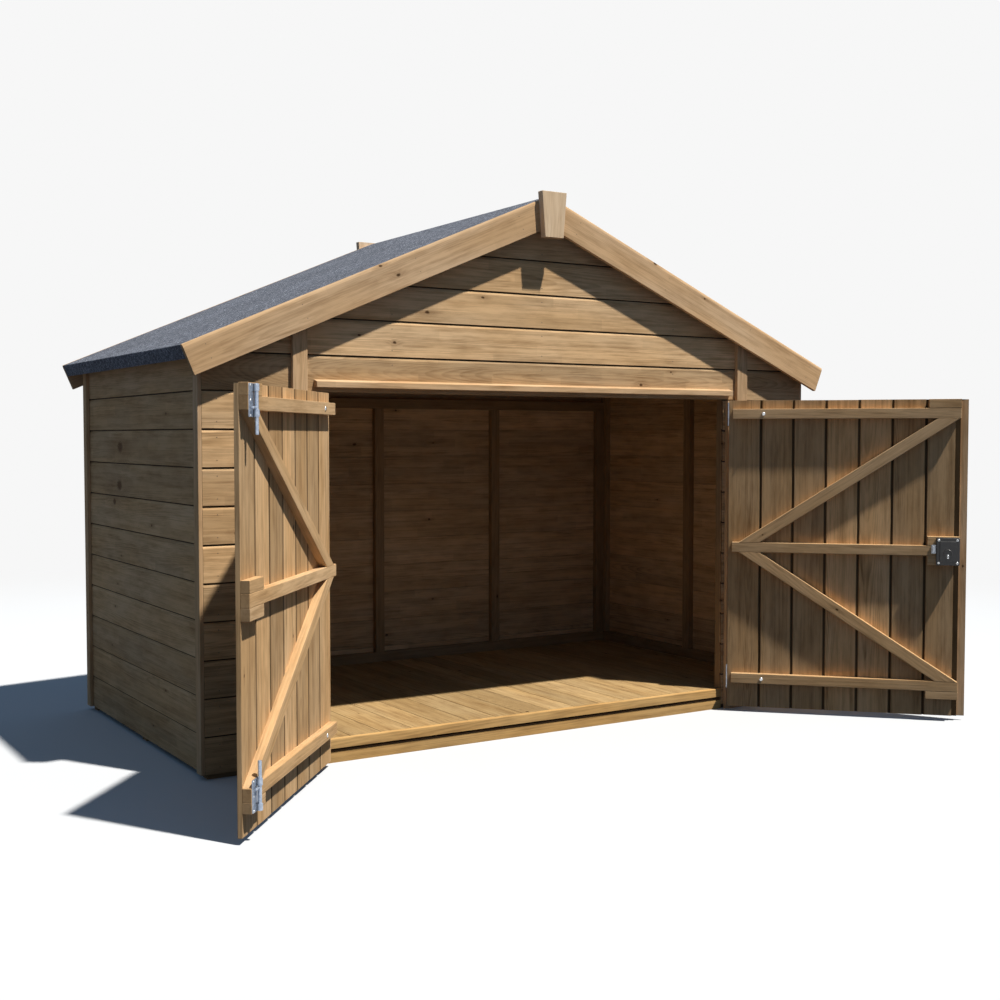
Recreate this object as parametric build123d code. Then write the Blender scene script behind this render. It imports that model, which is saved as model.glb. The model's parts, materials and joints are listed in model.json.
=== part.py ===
from build123d import *
import math
import os

# Timber bike shed with a gable front and a pair of ledged and braced doors.
# +X is right along the front, +Y is towards the rear, +Z is up, in millimetres.
# The origin is on the ground, under the middle of the floor.

# Overall sizes
width = 2650.0            # over the corner trims
depth = 1371.0            # over the front and rear cladding
ground_gap = 18.0         # ground to the lower edge of the cladding
board_cover = 125.0       # height that one cladding board covers
wall_board_count = 10     # boards from the lower edge to the top of the doorway
eave_rise = 137.6         # top of the doorway to the upper corner of the eaves
roof_pitch = 23.04        # degrees

# Timber sections
cladding_t = 12.0
frame_w = 45.0
frame_t = 28.0
panel_gap = 1.0           # between the frames of neighbouring panels
corner_trim_w = 46.0
corner_trim_t = 14.0

# Floor
bearer_h = 40.0
bearer_w = 45.0
joist_h = 26.0
deck_t = 16.0
joist_setback = 22.0      # front joist behind the bearer's face
threshold_h = 34.0
threshold_t = 20.0
threshold_gap = 13.0      # between the threshold board and the board under it

# Roof
felt_t = 3.0
roof_board_t = 12.0
roof_side_overhang = 68.0
roof_end_overhang = 39.5
eave_batten_t = 33.0
eave_batten_w = 38.0
eave_felt_lap = 48.0      # height of the felted edge, square to the slope
ridge_beam_t = 28.0
ridge_beam_h = 70.0
purlin_h = 45.0
purlin_t = 28.0
purlin_share = 0.5        # place of the purlin between ridge and wall
rafter_h = 45.0
barge_w = 105.0
barge_t = 15.5
barge_joint = 2.0         # between the two boards behind the keystone
key_top_w = 109.0
key_bottom_w = 81.0
key_h = 166.0
key_t = 28.0
key_rise = 10.0           # top of the keystone above the ridge

# Doorway
opening_w = 1776.0        # clear between the posts
leaf_w = 892.0
leaf_gap = 6.0            # between the closed leaves
leaf_t = 14.0
leaf_back_gap = 5.0       # closed leaf in front of the cladding
leaf_top_gap = 5.0        # leaf top below the top of the doorway
hinge_side_gap = 5.0      # leaf edge to jamb board
jamb_board_w = 49.0
door_trim_w = 54.0
door_trim_t = 18.0
drip_over = 20.0          # drip strip past the edges of the jamb boards
drip_h = 27.0
drip_t = 25.0
drip_rise = 14.0          # above the top of the doorway
header_h = 45.0
header_t = 45.0
left_open_angle = 130.4   # degrees that each leaf stands open
right_open_angle = 134.4

# Ledges, braces and pads on the inside of each leaf
ledge_w = 40.0
ledge_t = 27.0
ledge_inset = 16.0        # from the hinge edge
ledge_low = 100.0         # lower edges above the bottom of the leaf
ledge_middle = 633.0
ledge_high = 1170.0
brace_w = 45.0
brace_hinge_inset = 44.0  # from the hinge edge
brace_free_inset = 4.0    # from the free edge
pad_length = 120.0
pad_low_h = 31.0
pad_middle_h = 36.0
cover_w = 60.0            # strip on the right leaf that covers the joint
cover_t = 14.0
cover_over = 30.0
cover_rebate = 5.0

# Hinges
knuckle_r = 5.5
knuckle_h = 34.0
knuckle_gap = 0.6
knuckle_stand = 0.5       # knuckle in front of the leaf
pin_r = 3.0
pin_clearance = 0.05
strap_t = 3.0
strap_l = 300.0
strap_w = 34.0
strap_tip_w = 20.0
plate_w = 38.0
plate_h = 94.0

# Tower bolts on the left leaf
bolt_plate_w = 75.0
bolt_plate_h = 92.0
bolt_plate_t = 2.5
bolt_r = 5.5
bolt_l = 140.0
bolt_edge = 39.5          # bolt line from the free edge
bolt_stand = 8.0          # bolt line above the plate
bolt_travel = 30.0
bolt_end_gap = 2.0        # end of the drawn bolt inside the end of the leaf
low_bolt_rise = 70.0      # end of the drawn lower bolt above the leaf's bottom
staple_l = 19.0
staple_wall = 2.5
staple_clearance = 0.1
staple_inset = 1.5
knob_r = 3.5
knob_l = 30.0
knob_gap = 1.5            # drawn bolt's knob from the inner staple
knob_sink = 2.0           # knob let into the bar
socket_clearance = 1.5
socket_depth_gap = 5.0    # socket past the end of the thrown bolt

# Lock on the right leaf
lock_w = 88.0
lock_h = 108.0
lock_t = 18.0
lock_drop = 1.5           # middle of the lock below the middle of the ledge
latch_w = 17.0
latch_h = 34.0
latch_rise = 7.0          # middle of the latch above the middle of the ledge
latch_t = 10.0
key_plate_w = 36.0
key_plate_h = 60.0
key_plate_t = 2.0

# Cutting shapes run past the faces that they cut
cut_over = 1.0

# Levels and planes that follow from these
pitch = math.radians(roof_pitch)
slope = math.tan(pitch)
half_w = width / 2
half_d = depth / 2
clad_x = half_w - corner_trim_t            # outer face of the side cladding
side_in = clad_x - cladding_t              # its inner face
frame_x = side_in - frame_t                # inner face of the side frames
end_in = half_d - cladding_t               # inner face of front and rear cladding
frame_y = end_in - frame_t
deck_top = bearer_h + joist_h + deck_t
rail_top = deck_top + frame_w
clad_bottom = ground_gap
door_top = clad_bottom + wall_board_count * board_cover
roof_end = half_d + roof_end_overhang
eave_x = half_w + roof_side_overhang       # upper corner of the eaves
ridge_height = door_top + eave_rise + slope * eave_x
board_drop = felt_t / math.cos(pitch)      # vertical depth of the felt
under_drop = (felt_t + roof_board_t) / math.cos(pitch)
post_x = opening_w / 2
leaf_edge_x = leaf_gap / 2 + leaf_w        # hinge edge of a closed leaf
jamb_x = leaf_edge_x + hinge_side_gap
trim_x = jamb_x + jamb_board_w
leaf_back_y = -half_d - leaf_back_gap
leaf_front_y = leaf_back_y - leaf_t
leaf_bottom = clad_bottom
leaf_top = door_top - leaf_top_gap
hinge_x = leaf_edge_x + hinge_side_gap / 2
hinge_y = leaf_front_y - knuckle_stand - knuckle_r


def roof_z(x, drop=0.0):
    """Height of the felt's top face over x, less a vertical drop."""
    return ridge_height - slope * abs(x) - drop


def block(x0, x1, y0, y1, z0, z1):
    """A straight piece between two corners."""
    size = Box(abs(x1 - x0), abs(y1 - y0), abs(z1 - z0))
    return Pos((x0 + x1) / 2, (y0 + y1) / 2, (z0 + z1) / 2) * size


def along_y(points, y0, y1):
    """A piece whose outline in X and Z runs from y0 to y1."""
    outline = Wire.make_polygon([Vector(x, y0, z) for x, z in points], close=True)
    return Solid.extrude(Face(outline), Vector(0, y1 - y0, 0))


def rod(radius, x, y, z0, z1):
    """A round upright bar."""
    return Pos(x, y, (z0 + z1) / 2) * Cylinder(radius, abs(z1 - z0))


def mirrored(pieces):
    """The same pieces on the other side of the middle of the front."""
    return [piece.mirror(Plane.YZ) for piece in pieces]


def slope_strip(x0, x1, top, bottom, side, y0, y1):
    """A strip under one roof slope, with its ends square to the slope.

    x0 and x1 are read on the felt's top face, and top and bottom are
    depths below it, square to the slope.
    """
    def corner(x, down):
        inward = down * math.sin(pitch)
        return side * (x - inward), roof_z(x) - down * math.cos(pitch)

    points = [corner(x0, top), corner(x1, top), corner(x1, bottom), corner(x0, bottom)]
    return along_y(points, y0, y1)


nodes = {}


def add(name, *pieces):
    nodes[name] = list(pieces)


def make_floor():
    bearer_ys = [-end_in + bearer_w / 2, 0.0, end_in - bearer_w / 2]
    bearers = []
    joists = []
    for y in bearer_ys:
        bearers.append(block(-side_in, side_in, y - bearer_w / 2, y + bearer_w / 2, 0, bearer_h))
        low = y - bearer_w / 2 + (joist_setback if y < 0 else 0)
        joists.append(
            block(-side_in, side_in, low, low + bearer_w, bearer_h, bearer_h + joist_h)
        )
    deck = block(-side_in, side_in, -end_in, end_in, bearer_h + joist_h, deck_top)
    board = block(
        -post_x, post_x, -half_d, -half_d + threshold_t, deck_top - threshold_h, deck_top
    )
    low_board = block(
        -post_x, post_x, -half_d, -end_in, 0, deck_top - threshold_h - threshold_gap
    )
    deck -= block(
        -post_x, post_x, -half_d, -half_d + threshold_t, bearer_h, deck_top + cut_over
    )
    socket = low_bolt_socket()
    joists[0] -= socket
    add("floor_bearers", *bearers)
    add("floor_joists", *joists)
    add("floor_deck", deck - socket)
    add("threshold_boards", board - socket, low_board)


def bolt_line():
    """Place of the bolts when the left leaf is closed."""
    x = -leaf_gap / 2 - bolt_edge
    y = leaf_back_y + ledge_t + bolt_plate_t + bolt_stand
    return x, y


def low_bolt_socket():
    x, y = bolt_line()
    end = leaf_bottom + low_bolt_rise - bolt_travel
    return rod(bolt_r + socket_clearance, x, y, end - socket_depth_gap, deck_top + cut_over)


def high_bolt_socket():
    x, y = bolt_line()
    end = leaf_top - bolt_end_gap + bolt_travel
    return rod(bolt_r + socket_clearance, x, y, door_top - cut_over, end + socket_depth_gap)


def make_cladding():
    side = block(-clad_x, -side_in, -end_in, end_in, clad_bottom, roof_z(clad_x, under_drop))
    add("left_wall_cladding", side)
    add("right_wall_cladding", *mirrored([side]))
    front = block(-clad_x, -post_x, -half_d, -end_in, clad_bottom, door_top)
    add("front_wall_cladding", front, *mirrored([front]))
    add("rear_wall_cladding", block(-clad_x, clad_x, end_in, half_d, clad_bottom, door_top))
    gable = [
        (-clad_x, door_top),
        (clad_x, door_top),
        (clad_x, roof_z(clad_x, under_drop)),
        (0, roof_z(0, under_drop)),
        (-clad_x, roof_z(clad_x, under_drop)),
    ]
    add("front_gable_cladding", along_y(gable, -half_d, -end_in))
    add("rear_gable_cladding", along_y(gable, end_in, half_d))


def make_frames():
    wall_top = roof_z(side_in, under_drop)
    side_rail_bottom = wall_top - frame_w
    rail_xs = (-side_in, -frame_x)
    top_rail = along_y(
        [
            (-side_in, side_rail_bottom),
            (-frame_x, side_rail_bottom),
            (-frame_x, roof_z(frame_x, under_drop)),
            (-side_in, wall_top),
        ],
        -end_in,
        end_in,
    )
    low_rail = block(*rail_xs, -end_in, end_in, deck_top, rail_top)
    side_rails = [low_rail, top_rail]
    side_studs = []
    for y in (-end_in + frame_w / 2, 0.0, end_in - frame_w / 2):
        side_studs.append(
            block(*rail_xs, y - frame_w / 2, y + frame_w / 2, rail_top, side_rail_bottom)
        )
    reach = frame_x - panel_gap
    rear_rail_z = door_top - frame_w / 2
    rear_rails = [
        block(-reach, reach, frame_y, end_in, deck_top, rail_top),
        block(-reach, reach, frame_y, end_in, rear_rail_z, rear_rail_z + frame_w),
    ]
    rear_studs = []
    for share in (-1.0, -0.5, 0.0, 0.5, 1.0):
        x = share * (reach - frame_w / 2)
        rear_studs.append(
            block(x - frame_w / 2, x + frame_w / 2, frame_y, end_in, rail_top, rear_rail_z)
        )
    front_rail = block(-reach, -post_x - frame_w, -end_in, -frame_y, deck_top, rail_top)
    front_stud = block(-reach, -reach + frame_w, -end_in, -frame_y, rail_top, door_top)
    post = block(-post_x - frame_w, -post_x, -end_in, -frame_y, deck_top, door_top)
    header = block(
        -reach, reach, -end_in, -end_in + header_t, door_top, door_top + header_h
    )
    add("wall_rails", *side_rails, *mirrored(side_rails), *rear_rails,
        front_rail, *mirrored([front_rail]))
    add("wall_studs", *side_studs, *mirrored(side_studs), *rear_studs,
        front_stud, *mirrored([front_stud]))
    add("door_posts", post, *mirrored([post]))
    add("door_header", header - high_bolt_socket())


def make_roof_frame():
    ridge_side = ridge_beam_t / 2
    ridge_low = roof_z(0, under_drop) - ridge_beam_h
    add("ridge_beam", along_y(
        [
            (-ridge_side, ridge_low),
            (ridge_side, ridge_low),
            (ridge_side, roof_z(ridge_side, under_drop)),
            (0, roof_z(0, under_drop)),
            (-ridge_side, roof_z(ridge_side, under_drop)),
        ],
        -end_in,
        end_in,
    ))
    under = felt_t + roof_board_t
    reach = frame_x - panel_gap
    rafter_low = under_drop + rafter_h / math.cos(pitch)
    rafters = []
    for y0, y1 in ((-end_in, -frame_y), (frame_y, end_in)):
        rafters.append(along_y(
            [
                (-reach, roof_z(reach, rafter_low)),
                (-ridge_side, roof_z(ridge_side, rafter_low)),
                (-ridge_side, roof_z(ridge_side, under_drop)),
                (-reach, roof_z(reach, under_drop)),
            ],
            y0,
            y1,
        ))
    add("gable_rafters", *rafters, *mirrored(rafters))
    purlin_x = purlin_share * frame_x
    half_purlin = purlin_t / 2 * math.cos(pitch)
    purlin = slope_strip(
        purlin_x - half_purlin, purlin_x + half_purlin, under, under + purlin_h,
        -1, -frame_y, frame_y,
    )
    batten = slope_strip(
        eave_x - eave_batten_w * math.cos(pitch), eave_x - felt_t * math.cos(pitch),
        under, under + eave_batten_t, -1, -roof_end, roof_end,
    )
    add("purlins", purlin, *mirrored([purlin]))
    add("eave_battens", batten, *mirrored([batten]))


def make_roof_cover():
    edge_x = eave_x - felt_t * math.cos(pitch)
    edge_top = (-edge_x + felt_t * math.sin(pitch), roof_z(edge_x) - felt_t * math.cos(pitch))
    under = felt_t + roof_board_t
    edge_low = (-edge_x + under * math.sin(pitch), roof_z(edge_x) - under * math.cos(pitch))
    boards = along_y(
        [(0, roof_z(0, board_drop)), edge_top, edge_low, (0, roof_z(0, under_drop))],
        -roof_end,
        roof_end,
    )
    add("roof_boards_left", boards)
    add("roof_boards_right", *mirrored([boards]))
    lap_in = eave_felt_lap * math.sin(pitch)
    lap_down = eave_felt_lap * math.cos(pitch)
    felt = along_y(
        [
            (0, roof_z(0)),
            (-eave_x, roof_z(eave_x)),
            (-eave_x + lap_in, roof_z(eave_x) - lap_down),
            (-edge_x + lap_in, roof_z(edge_x) - lap_down),
            edge_top,
            (0, roof_z(0, board_drop)),
        ],
        -roof_end,
        roof_end,
    )
    add("roof_felt_left", felt)
    add("roof_felt_right", *mirrored([felt]))


def make_bargeboards():
    cut_in = barge_w * math.sin(pitch)
    cut_down = barge_w * math.cos(pitch)
    low_drop = barge_w / math.cos(pitch)
    meet = barge_joint / 2
    outline = [
        (-meet, roof_z(meet)),
        (-eave_x, roof_z(eave_x)),
        (-eave_x + cut_in, roof_z(eave_x) - cut_down),
        (-meet, roof_z(meet, low_drop)),
    ]
    key_top = ridge_height + key_rise
    key = [
        (-key_top_w / 2, key_top),
        (key_top_w / 2, key_top),
        (key_bottom_w / 2, key_top - key_h),
        (-key_bottom_w / 2, key_top - key_h),
    ]
    for name, side in (("front", -1), ("rear", 1)):
        face = side * roof_end
        board = along_y(outline, face, face + side * barge_t)
        add(name + "_bargeboards", board, *mirrored([board]))
        key_face = face + side * barge_t
        add(name + "_keystone", along_y(key, key_face, key_face + side * key_t))


def make_trims():
    high = roof_z(half_w, under_drop)
    low = roof_z(clad_x, under_drop)
    outline = [(-half_w, clad_bottom), (-clad_x, clad_bottom), (-clad_x, low), (-half_w, high)]
    corners = [
        along_y(outline, -half_d, -half_d + corner_trim_w),
        along_y(outline, half_d - corner_trim_w, half_d),
    ]
    add("corner_trims", *corners, *mirrored(corners))
    outer_x = trim_x + door_trim_w
    strip = along_y(
        [
            (-outer_x, 0),
            (-trim_x, 0),
            (-trim_x, roof_z(trim_x, under_drop)),
            (-outer_x, roof_z(outer_x, under_drop)),
        ],
        -half_d - door_trim_t,
        -half_d,
    )
    jamb = block(-trim_x, -jamb_x, -half_d - door_trim_t, -half_d, 0, leaf_top)
    drip_low = door_top + drip_rise
    drip_x = jamb_x + drip_over
    drip = block(-drip_x, drip_x, -half_d - drip_t, -half_d, drip_low, drip_low + drip_h)
    add("door_side_trims", strip, *mirrored([strip]))
    add("door_jamb_boards", jamb, *mirrored([jamb]))
    add("door_drip_strip", drip)


def brace(foot_z, head_z):
    """A brace of the left leaf, from the hinge side at foot_z to the free side at head_z."""
    foot_x = -leaf_edge_x + brace_hinge_inset
    head_x = -leaf_gap / 2 - brace_free_inset
    rise = abs(head_z - foot_z)
    span = head_x - foot_x
    # The level cut c is the width over the sine of the slope, so that
    # c * rise = brace_w * hypot(rise, span - c), which is a quadratic in c.
    a = rise ** 2 - brace_w ** 2
    b = 2 * brace_w ** 2 * span
    c = -(brace_w ** 2) * (rise ** 2 + span ** 2)
    cut = (-b + math.sqrt(b * b - 4 * a * c)) / (2 * a)
    points = [(foot_x, foot_z), (foot_x + cut, foot_z), (head_x, head_z), (head_x - cut, head_z)]
    return along_y(points, leaf_back_y, leaf_back_y + ledge_t)


def make_left_leaf():
    """The parts that both leaves have, drawn on a closed left leaf."""
    free_x = -leaf_gap / 2
    back = (leaf_back_y, leaf_back_y + ledge_t)
    boards = block(-leaf_edge_x, free_x, leaf_front_y, leaf_back_y, leaf_bottom, leaf_top)
    ledges = []
    for low in (ledge_low, ledge_middle, ledge_high):
        z = leaf_bottom + low
        ledges.append(block(-leaf_edge_x + ledge_inset, free_x, *back, z, z + ledge_w))
    middle = leaf_bottom + ledge_middle
    braces = [
        brace(middle + ledge_w, leaf_bottom + ledge_high),
        brace(middle, leaf_bottom + ledge_low + ledge_w),
    ]
    pad_xs = (free_x - pad_length, free_x)
    low_pad_top = leaf_bottom + ledge_low
    pads = [
        block(*pad_xs, *back, low_pad_top - pad_low_h, low_pad_top),
        block(*pad_xs, *back, leaf_bottom + ledge_high + ledge_w, leaf_top),
        block(*pad_xs, *back, middle - pad_middle_h, middle),
        block(*pad_xs, *back, middle + ledge_w, middle + ledge_w + pad_middle_h),
    ]
    return boards, ledges, braces, pads


def hinge_levels():
    return [leaf_bottom + low + ledge_w / 2 for low in (ledge_low, ledge_high)]


def make_hinges():
    """Cross plates with pins on the jamb boards, and straps on the leaves."""
    plates = []
    straps = []
    bore_r = pin_r + pin_clearance
    tip_x = -leaf_edge_x + strap_l
    for z in hinge_levels():
        plate = block(
            -hinge_x - hinge_side_gap / 2 - plate_w, -hinge_x,
            -half_d - door_trim_t - strap_t, -half_d - door_trim_t,
            z - plate_h / 2, z + plate_h / 2,
        )
        middle_gap = knuckle_h / 2 + knuckle_gap
        plate -= rod(knuckle_r + cut_over, -hinge_x, hinge_y, z - middle_gap, z + middle_gap)
        for low, high in ((z - plate_h / 2, z - middle_gap), (z + middle_gap, z + plate_h / 2)):
            plate += rod(knuckle_r, -hinge_x, hinge_y, low, high)
        plate += rod(pin_r, -hinge_x, hinge_y, z - plate_h / 2, z + plate_h / 2)
        plates.append(plate)
        outline = Wire.make_polygon(
            [
                Vector(-hinge_x, leaf_front_y, z - strap_w / 2),
                Vector(tip_x, leaf_front_y, z - strap_tip_w / 2),
                Vector(tip_x, leaf_front_y, z + strap_tip_w / 2),
                Vector(-hinge_x, leaf_front_y, z + strap_w / 2),
            ],
            close=True,
        )
        strap = Solid.extrude(Face(outline), Vector(0, -strap_t, 0))
        strap += rod(knuckle_r, -hinge_x, hinge_y, z - knuckle_h / 2, z + knuckle_h / 2)
        strap -= rod(bore_r, -hinge_x, hinge_y, z - plate_h, z + plate_h)
        straps.append(strap)
    return plates, straps


def make_bolts():
    """Tower bolts of the closed left leaf: the plates and the two bars."""
    x, y = bolt_line()
    face = leaf_back_y + ledge_t
    plates = []
    bars = {}
    ends = {
        "high": (leaf_top - bolt_end_gap, -1),
        "low": (leaf_bottom + low_bolt_rise, 1),
    }
    for name, (end, way) in ends.items():
        other = end + way * bolt_l
        plate_a = end
        plate_b = end + way * bolt_plate_h
        plate = block(
            x - bolt_plate_w / 2, x + bolt_plate_w / 2, face, face + bolt_plate_t,
            plate_a, plate_b,
        )
        loop_r = bolt_r + staple_clearance + staple_wall
        for start in (end + way * staple_inset, plate_b - way * (staple_inset + staple_l)):
            stop = start + way * staple_l
            plate += rod(loop_r, x, y, start, stop)
            plate += block(x - loop_r, x + loop_r, face, y, start, stop)
        plate -= rod(bolt_r + staple_clearance, x, y, end - bolt_l, end + bolt_l)
        plates.append(plate)
        bar = rod(bolt_r, x, y, end, other)
        inner_staple = plate_b - way * (staple_inset + staple_l)
        knob_z = inner_staple - way * (knob_gap + knob_r)
        knob = Pos(x + bolt_r - knob_sink + knob_l / 2, y, knob_z) * (
            Rot(0, 90, 0) * Cylinder(knob_r, knob_l)
        )
        bars[name] = bar + knob
    return plates, bars


def make_lock():
    """Rim lock on the middle pads, latch beside it and the keyhole plate outside."""
    free_x = leaf_gap / 2
    face = leaf_back_y + ledge_t
    mid_z = leaf_bottom + ledge_middle + ledge_w / 2
    case = block(
        free_x, free_x + lock_w, face, face + lock_t,
        mid_z - lock_drop - lock_h / 2, mid_z - lock_drop + lock_h / 2,
    )
    latch_x = free_x + lock_w
    latch = block(
        latch_x, latch_x + latch_w, face, face + latch_t,
        mid_z + latch_rise - latch_h / 2, mid_z + latch_rise + latch_h / 2,
    )
    key_x = cover_w - cover_over + free_x + key_plate_w
    key_plate = block(
        key_x - key_plate_w / 2, key_x + key_plate_w / 2,
        leaf_front_y - key_plate_t, leaf_front_y,
        mid_z - key_plate_h / 2, mid_z + key_plate_h / 2,
    )
    return case, latch, key_plate


def make_cover_strip():
    """Strip on the right leaf, rebated where it laps over the left one."""
    edge = leaf_gap / 2
    strip = block(
        edge - cover_over, edge + cover_w - cover_over, leaf_front_y - cover_t, leaf_front_y,
        leaf_bottom, leaf_top,
    )
    return strip - block(
        edge - cover_over - cut_over, edge,
        leaf_front_y - cover_rebate, leaf_front_y + cut_over,
        leaf_bottom - cut_over, leaf_top + cut_over,
    )


def make_doors():
    boards, ledges, braces, pads = make_left_leaf()
    plates, straps = make_hinges()
    bolt_plates, bars = make_bolts()
    case, latch, key_plate = make_lock()
    left_axis = Axis((-hinge_x, hinge_y, 0), (0, 0, 1))
    right_axis = Axis((hinge_x, hinge_y, 0), (0, 0, 1))

    def add_left(name, *pieces):
        add(name, *[piece.rotate(left_axis, -left_open_angle) for piece in pieces])

    def add_right(name, *pieces):
        add(name, *[piece.rotate(right_axis, right_open_angle) for piece in pieces])

    add_left("left_door_boards", boards)
    add_left("left_door_ledges", *ledges)
    add_left("left_door_braces", *braces)
    add_left("left_door_pads", *pads)
    add_left("left_hinge_straps", *straps)
    add_left("bolt_plates", *bolt_plates)
    add_left("top_bolt", bars["high"])
    add_left("bottom_bolt", bars["low"])
    add_right("right_door_boards", *mirrored([boards]))
    add_right("right_door_ledges", *mirrored(ledges))
    add_right("right_door_braces", *mirrored(braces))
    add_right("right_door_pads", *mirrored(pads))
    add_right("right_hinge_straps", *mirrored(straps))
    add_right("door_cover_strip", make_cover_strip())
    add_right("door_lock", case)
    add_right("lock_latch", latch)
    add_right("keyhole_plate", key_plate)
    add("hinge_plates", *plates, *mirrored(plates))


make_floor()
make_cladding()
make_frames()
make_roof_frame()
make_roof_cover()
make_bargeboards()
make_trims()
make_doors()

os.makedirs("parts", exist_ok=True)
for name, pieces in nodes.items():
    solids = [solid for piece in pieces for solid in piece.solids()]
    shape = solids[0] if len(solids) == 1 else Compound(solids)
    export_step(shape, "parts/" + name + ".step")
print(len(nodes), "nodes")
for side, x in (("left", -hinge_x), ("right", hinge_x)):
    print(side, "hinge line at", round(x, 2), round(hinge_y, 2))
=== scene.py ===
import json
import math

import bpy
import numpy as np
from mathutils import Matrix, Vector


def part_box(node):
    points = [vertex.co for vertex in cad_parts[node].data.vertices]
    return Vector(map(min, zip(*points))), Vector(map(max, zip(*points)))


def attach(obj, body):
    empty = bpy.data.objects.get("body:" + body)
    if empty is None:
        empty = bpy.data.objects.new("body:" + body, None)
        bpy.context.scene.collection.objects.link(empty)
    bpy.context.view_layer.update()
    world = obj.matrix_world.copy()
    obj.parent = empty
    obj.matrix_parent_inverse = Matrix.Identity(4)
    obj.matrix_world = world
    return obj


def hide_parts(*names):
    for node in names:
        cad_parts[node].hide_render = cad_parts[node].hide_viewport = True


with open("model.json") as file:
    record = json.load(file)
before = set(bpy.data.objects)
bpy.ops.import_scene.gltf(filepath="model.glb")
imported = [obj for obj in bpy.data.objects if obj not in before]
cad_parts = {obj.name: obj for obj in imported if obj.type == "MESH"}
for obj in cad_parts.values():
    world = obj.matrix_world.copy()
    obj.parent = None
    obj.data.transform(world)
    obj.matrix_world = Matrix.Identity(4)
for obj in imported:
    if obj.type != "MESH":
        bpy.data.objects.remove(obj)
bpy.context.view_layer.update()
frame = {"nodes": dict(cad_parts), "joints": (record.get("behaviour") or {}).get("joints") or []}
print("frame loaded")

# Metres in the shed's own frame: +X right along the front, +Y to the rear, +Z up.
shed = {
    "pitch": math.radians(23.04),
    "boardCover": 0.125,  # height that one cladding board covers
    "doorTop": 1.268,  # top of the doorway
    "feltDepth": 0.003,  # square to the slope
    "roofBoardDepth": 0.012,
}
cosPitch = math.cos(shed["pitch"])
sinPitch = math.sin(shed["pitch"])
slope = math.tan(shed["pitch"])
eaveX = -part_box("roof_felt_left")[0].x
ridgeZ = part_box("roof_felt_left")[1].z
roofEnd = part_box("roof_felt_left")[1].y
underDrop = (shed["feltDepth"] + shed["roofBoardDepth"]) / cosPitch


def roofZ(x, drop=0.0):
    # height of the roof at x: the ridge, less the slope times the distance from the middle
    return ridgeZ - slope * np.abs(x) - drop


# ---- shader maths: a socket with Python operators


def bothWays(operation):
    # an operator and its reflected form, each as a Math node
    return (lambda self, other: maths(operation, self, other),
            lambda self, other: maths(operation, other, self))


class Signal:
    # one output of a node tree, or a bare tree to start from
    def __init__(self, tree, socket=None):
        self.tree = tree
        self.socket = socket

    def add(self, kind, settings, inputs, out=0):
        # a new node: its settings first, then the values and links of its sockets
        node = self.tree.nodes.new(kind)
        for key, value in settings.items():
            if key == "stops":
                for _ in range(len(value) - 2):
                    node.color_ramp.elements.new(0.5)
                for element, (place, shade) in zip(node.color_ramp.elements, value):
                    element.position = place
                    element.color = (*shade, 1)
            else:
                setattr(node, key, value)
        for key, value in inputs.items():
            if isinstance(value, Signal):
                self.tree.links.new(value.socket, node.inputs[key])
            else:
                node.inputs[key].default_value = value
        return Signal(self.tree, node.outputs[out] if len(node.outputs) else None)

    __add__, __radd__ = bothWays("ADD")
    __sub__, __rsub__ = bothWays("SUBTRACT")
    __mul__, __rmul__ = bothWays("MULTIPLY")
    __truediv__, __rtruediv__ = bothWays("DIVIDE")
    __pow__, __rpow__ = bothWays("POWER")


def firstSignal(*values):
    # the first value that is a signal, which the next node is added from
    return next(value for value in values if isinstance(value, Signal))


def maths(operation, *values):
    # one Math node
    inputs = dict(enumerate(values))
    return firstSignal(*values).add("ShaderNodeMath", {"operation": operation}, inputs)


def parts(vector):
    # x, y and z of a vector, or red, green and blue of a colour
    return [vector.add("ShaderNodeSeparateXYZ", {}, {0: vector}, k) for k in range(3)]


def joined(x, y, z):
    # a vector of three numbers
    return firstSignal(x, y, z).add("ShaderNodeCombineXYZ", {}, {0: x, 1: y, 2: z})


def between(value, low, high, first=0.0, last=1.0):
    # a soft step: first below low, last above high
    inputs = {"Value": value, "From Min": low, "From Max": high, "To Min": first, "To Max": last}
    return value.add("ShaderNodeMapRange", {"interpolation_type": "SMOOTHSTEP"}, inputs)


def cloud(place, scale, detail=2.0, rough=0.5):
    # soft noise from 0 to 1, scale in cycles per metre
    inputs = {"Vector": place, "Scale": scale, "Detail": detail, "Roughness": rough}
    return place.add("ShaderNodeTexNoise", {}, inputs)


def dice(place):
    # a random level for each whole place
    return place.add("ShaderNodeTexWhiteNoise", {"noise_dimensions": "3D"}, {"Vector": place})


def grains(place, scale):
    # a random level for each cell of a pattern of grains, scale in grains per metre
    cells = place.add("ShaderNodeTexVoronoi", {}, {"Vector": place, "Scale": scale}, 1)
    return parts(cells)[0]


def tinted(share, first, last, mode="MIX"):
    # colours: plain tuples or signals
    ends = [value if isinstance(value, Signal) else (*value, 1) for value in (first, last)]
    settings = {"data_type": "RGBA", "blend_type": mode}
    inputs = {0: share, 6: ends[0], 7: ends[1]}
    return firstSignal(share, first, last).add("ShaderNodeMix", settings, inputs, 2)


def brighter(colour, factor):
    # colour times a grey factor
    grey = joined(factor, factor, factor)
    return colour.add("ShaderNodeVectorMath", {"operation": "MULTIPLY"}, {0: colour, 1: grey})


def bumped(height, strength, depth):
    # normals of a surface raised by height times depth
    return height.add("ShaderNodeBump", {}, {"Strength": strength, "Distance": depth, "Height": height})


def objectPlace(start):
    # where a point is in its piece's frame, in metres
    return start.add("ShaderNodeTexCoord", {}, {}, 3)


def attribute(start, name, out=1):
    # 1 gives a vector, 2 a plain number
    return start.add("ShaderNodeAttribute", {"attribute_name": name}, {}, out)


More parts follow.
